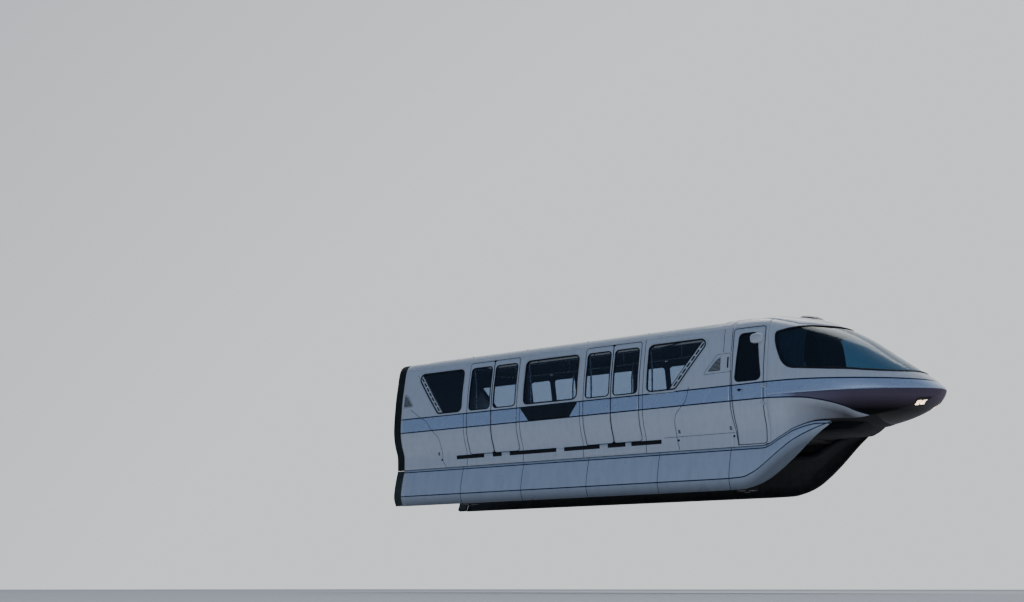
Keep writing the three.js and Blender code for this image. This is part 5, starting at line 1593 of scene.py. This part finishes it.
# Benches. Columns: x of the back's rear face, way it faces, height of the back.
BENCHES = {"bench_front": [(3.065, -1, 1.035)], "bench_rear": [(-3.065, 1, 1.035)],
           "bench_centre": [(-.075, 1, 1.120), (-.065, -1, 1.120)]}
for bench, halves in BENCHES.items():
    shell, seams = [], []
    deep = .600 if bench == "bench_centre" else .560
    for back, way, top in halves:
        for low, high, z0, z1 in ((.002, .400, .077, .400), (.002, deep - .02, .395, .425),
                                  (.002, .030, .42, top - .03)):
            a, b = sorted((back + way * low, back + way * high))
            shell += block((a, -.990, z0), (b, .990, z1), .008)
        seat_size, back_size = (deep - .155, .470, .116), (.088, .470, top - .580)
        for k, y in enumerate((-.735, -.245, .245, .735)):
            seat_at = (back + way * (deep + .135) / 2, y, .482)
            back_at = (back + way * .082, y, (top + .565) / 2)
            for part, at, size, lean in (("seat", seat_at, seat_size, way * .03),
                                         ("back", back_at, back_size, -way * .10)):
                name = f"{bench}_{'front' if way > 0 else 'rear'}_{part}_{k + 1}"
                pad = piece(name, [cushion(at, size, lean)], [FABRIC])
            seams += piping(seat_at, seat_size, way * .03)
    piece(f"{bench}_shell", shell, [CONSOLE], replaces=[bench], crease_angle=30)
    piece(f"{bench}_piping", seams, [RUBBER])
print("benches with", sum(len(h) * 8 for h in BENCHES.values()), "cushions")

# %% Driver's seat and console
seat_parts = {"driver_seat_cushion": ((5.600, 0, .535), (.440, .500, .105), 0.0),
              "driver_seat_back": ((5.245, 0, .880), (.100, .480, .640), -.15),
              "driver_seat_head": ((5.188, 0, 1.190), (.070, .280, .090), -.15)}
for name, (at, size, lean) in seat_parts.items():
    piece(name, [cushion(at, size, lean)], [FABRIC])
frame_parts = block((5.36, -.13, .077), (5.64, .13, .110), .008)
frame_parts += rod((5.50, 0, .10), (0, 0, 1), 0, .36, .055, 32, .045)
frame_parts += block((5.33, -.235, .455), (5.80, .235, .482), .010)
for side in (-1, 1):
    inner = .250 * side - .022
    frame_parts += block((5.36, inner, .640), (5.62, inner + .030 + .006 * side, .672), .008)
piece("driver_seat_frame", frame_parts, [STEEL], replaces=["driver_seat"], crease_angle=30)

screens, glows = [], []
for y in (-.42, 0.0, .42):
    screens += block((6.02, y - .17, 1.015), (6.06, y + .17, 1.19), .006)
    glows += block((6.012, y - .155, 1.035), (6.019, y + .155, 1.175), .002)
desk = block((5.96, -.60, 1.000), (6.12, .60, 1.028), .010)
handle = [[0, .001], [0, .030], [.012, .028], [.016, .012], [.085, .010], [.090, .022], [.120, .020],
          [.128, .001]]
for y in (-.24, .24):
    desk += turned(handle, (5.95, y, 1.015), (0, 0, 1), 28)
for k in range(8):
    desk += turned([[0, .001], [0, .010], [.010, .009], [.011, .001]], (5.99, -.56 + k * .035, 1.026),
                   (0, 0, 1), 16)
piece("console_desk", desk, [CONSOLE], crease_angle=30)
piece("console_screens", screens, [BLACK_AND_SLOT_SHADE], crease_angle=30)
piece("console_displays", glows, [DISPLAY])
print("cab inside done")

# %% Floor cover, poles and ceiling
FLOOR_TOP, RAIL_HEIGHT = .079, 2.05
piece("floor_cover", block((-3.055, -1.095, .0755), (3.055, 1.095, FLOOR_TOP), .001), [FLOORING],
      crease_angle=30)
poles, flanges = [], []
flange = [[0, .001], [0, .038], [.006, .036], [.012, .020], [.012, .001]]
for x0 in (-2.36, -.86, .71, 2.19):
    for y0 in (-.86, .86):
        t = np.linspace(0, 1, 24)
        bend = y0 + np.sign(y0) * .10 * ease(t, .72, 1)
        path = np.stack([np.full(24, x0), bend, FLOOR_TOP + (2.325 - FLOOR_TOP) * t], -1)
        poles += carried(path, np.array([1.0, 0, 0]), tube_profile(.017, 16), closed=False)
        flanges += turned(flange, (x0, y0, FLOOR_TOP), (0, 0, 1), 28)
for y0 in (-.62, .62):
    t = np.linspace(0, 1, 60)
    path = np.stack([-2.9 + 5.8 * t, np.full(60, y0), RAIL_HEIGHT + .12 * (2 * t - 1) ** 8], -1)
    poles += carried(path, np.array([0, 1.0, 0]), tube_profile(.015, 16), closed=False)
    for x0 in (-2.3, -.8, .65, 2.1):
        poles += rod((x0, y0, RAIL_HEIGHT), (0, 0, 1), 0, .30, .010, 16)
piece("grab_poles", poles + flanges, [BARE_STEEL], crease_angle=40)
lights, posts = [], []
for side in (-1, 1):
    lights += block((-2.95, .40 * side - .075, 2.318), (2.95, .40 * side + .075, 2.348), .012)
    for x0 in (-.800, .660):
        posts += side_block((x0 - .022, x0 + .022), (1.03, 1.09), (1.02, 1.98), side, .008)
piece("ceiling_diffusers", lights, [CEILING_LIGHT], crease_angle=30)
piece("window_posts", posts, [LINING], crease_angle=30)
print("saloon inside done")

# %% CAD nodes that stay
KEPT = {"floor_frame": STEEL, "front_wheel_housing": LINING, "rear_wheel_housing": LINING, "drawbar": STEEL,
        "console": CONSOLE, "front_bogie_frame": STEEL, "rear_bogie_frame": STEEL}
for node, finish in KEPT.items():
    bpy.data.objects[node].data.materials.clear()
    bpy.data.objects[node].data.materials.append(finish)
print("kept nodes:", len(KEPT))

# %% [markdown]
# The studio is plain: a pale floor, a bright wall behind the car and a dim room on the camera's side. The
# photographed side is in open shade, and this gives the same soft, cool light, with one large lamp
# overhead and a weak one beside the camera.

# %% Studio
FLOOR_HEIGHT = -3.0
LAMPS = {"top": ((3, 6, 15), 12, 900, "#FFFBF4"), "side": ((13, -22, 2), 9, 240, "#DCE8FF")}


def studio():
    """The floor, the room's light by direction, and two area lamps that face the car."""
    floor = bpy.data.meshes.new("studio_floor")
    x, y = np.meshgrid(np.linspace(-60, 60, 3), np.linspace(-60, 60, 3))
    points, quads, _ = patch(np.stack([x, y, np.full_like(x, FLOOR_HEIGHT)], -1))
    floor.from_pydata(points.tolist(), [], quads.tolist())
    obj = bpy.data.objects.new("studio_floor", floor)
    bpy.context.scene.collection.objects.link(obj)
    material, tree, place = new_finish("pale_studio_floor")
    # Patches 5 m wide: a painted floor scuffed by years of use.
    soft = add(tree, "TexNoise", {"Vector": place, "Scale": .2})
    colour = add(tree, "Mix", {0: soft, 6: linear("#DEDFE0"), 7: linear("#E6E6E6")}, 2, **COLOUR)
    add(tree, "OutputMaterial", {0: add(tree, "BsdfPrincipled", {"Base Color": colour, "Roughness": .8})})
    floor.materials.append(material)
    world = bpy.data.worlds.new("world")
    bpy.context.scene.world = world
    world.use_nodes = True
    tree = world.node_tree
    tree.nodes.clear()
    way = add(tree, "TexCoord", out="Generated")
    # How far a direction points to the back wall, less half of how far it points up.
    up, back = (add(tree, "SeparateXYZ", {0: way}, axis) for axis in ("Z", "Y"))
    level = add(tree, "Math", {0: up, 1: -.5, 2: back}, operation="MULTIPLY_ADD")
    share = add(tree, "MapRange", {0: level, 1: -.5, 2: .6})
    shade = add(tree, "Mix", {0: share, 6: linear("#566884"), 7: linear("#F2F5F8")}, 2, **COLOUR)
    add(tree, "OutputWorld", {0: add(tree, "Background", {0: shade, 1: 1.0})})
    for name, (stand, size, power, colour) in LAMPS.items():
        lamp = bpy.data.lights.new(name, "AREA")
        lamp.size, lamp.energy, lamp.color = size, power, linear(colour)[:3]
        holder = bpy.data.objects.new(name, lamp)
        holder.location = stand
        dx, dy, dz = np.array([1.5, 0, .8]) - np.array(stand)
        holder.rotation_euler = (math.atan2(math.hypot(dx, dy), -dz), 0, math.atan2(dy, dx) - math.pi / 2)
        bpy.context.scene.collection.objects.link(holder)
    print("studio lit by", [lamp.name for lamp in bpy.data.lights])


studio()
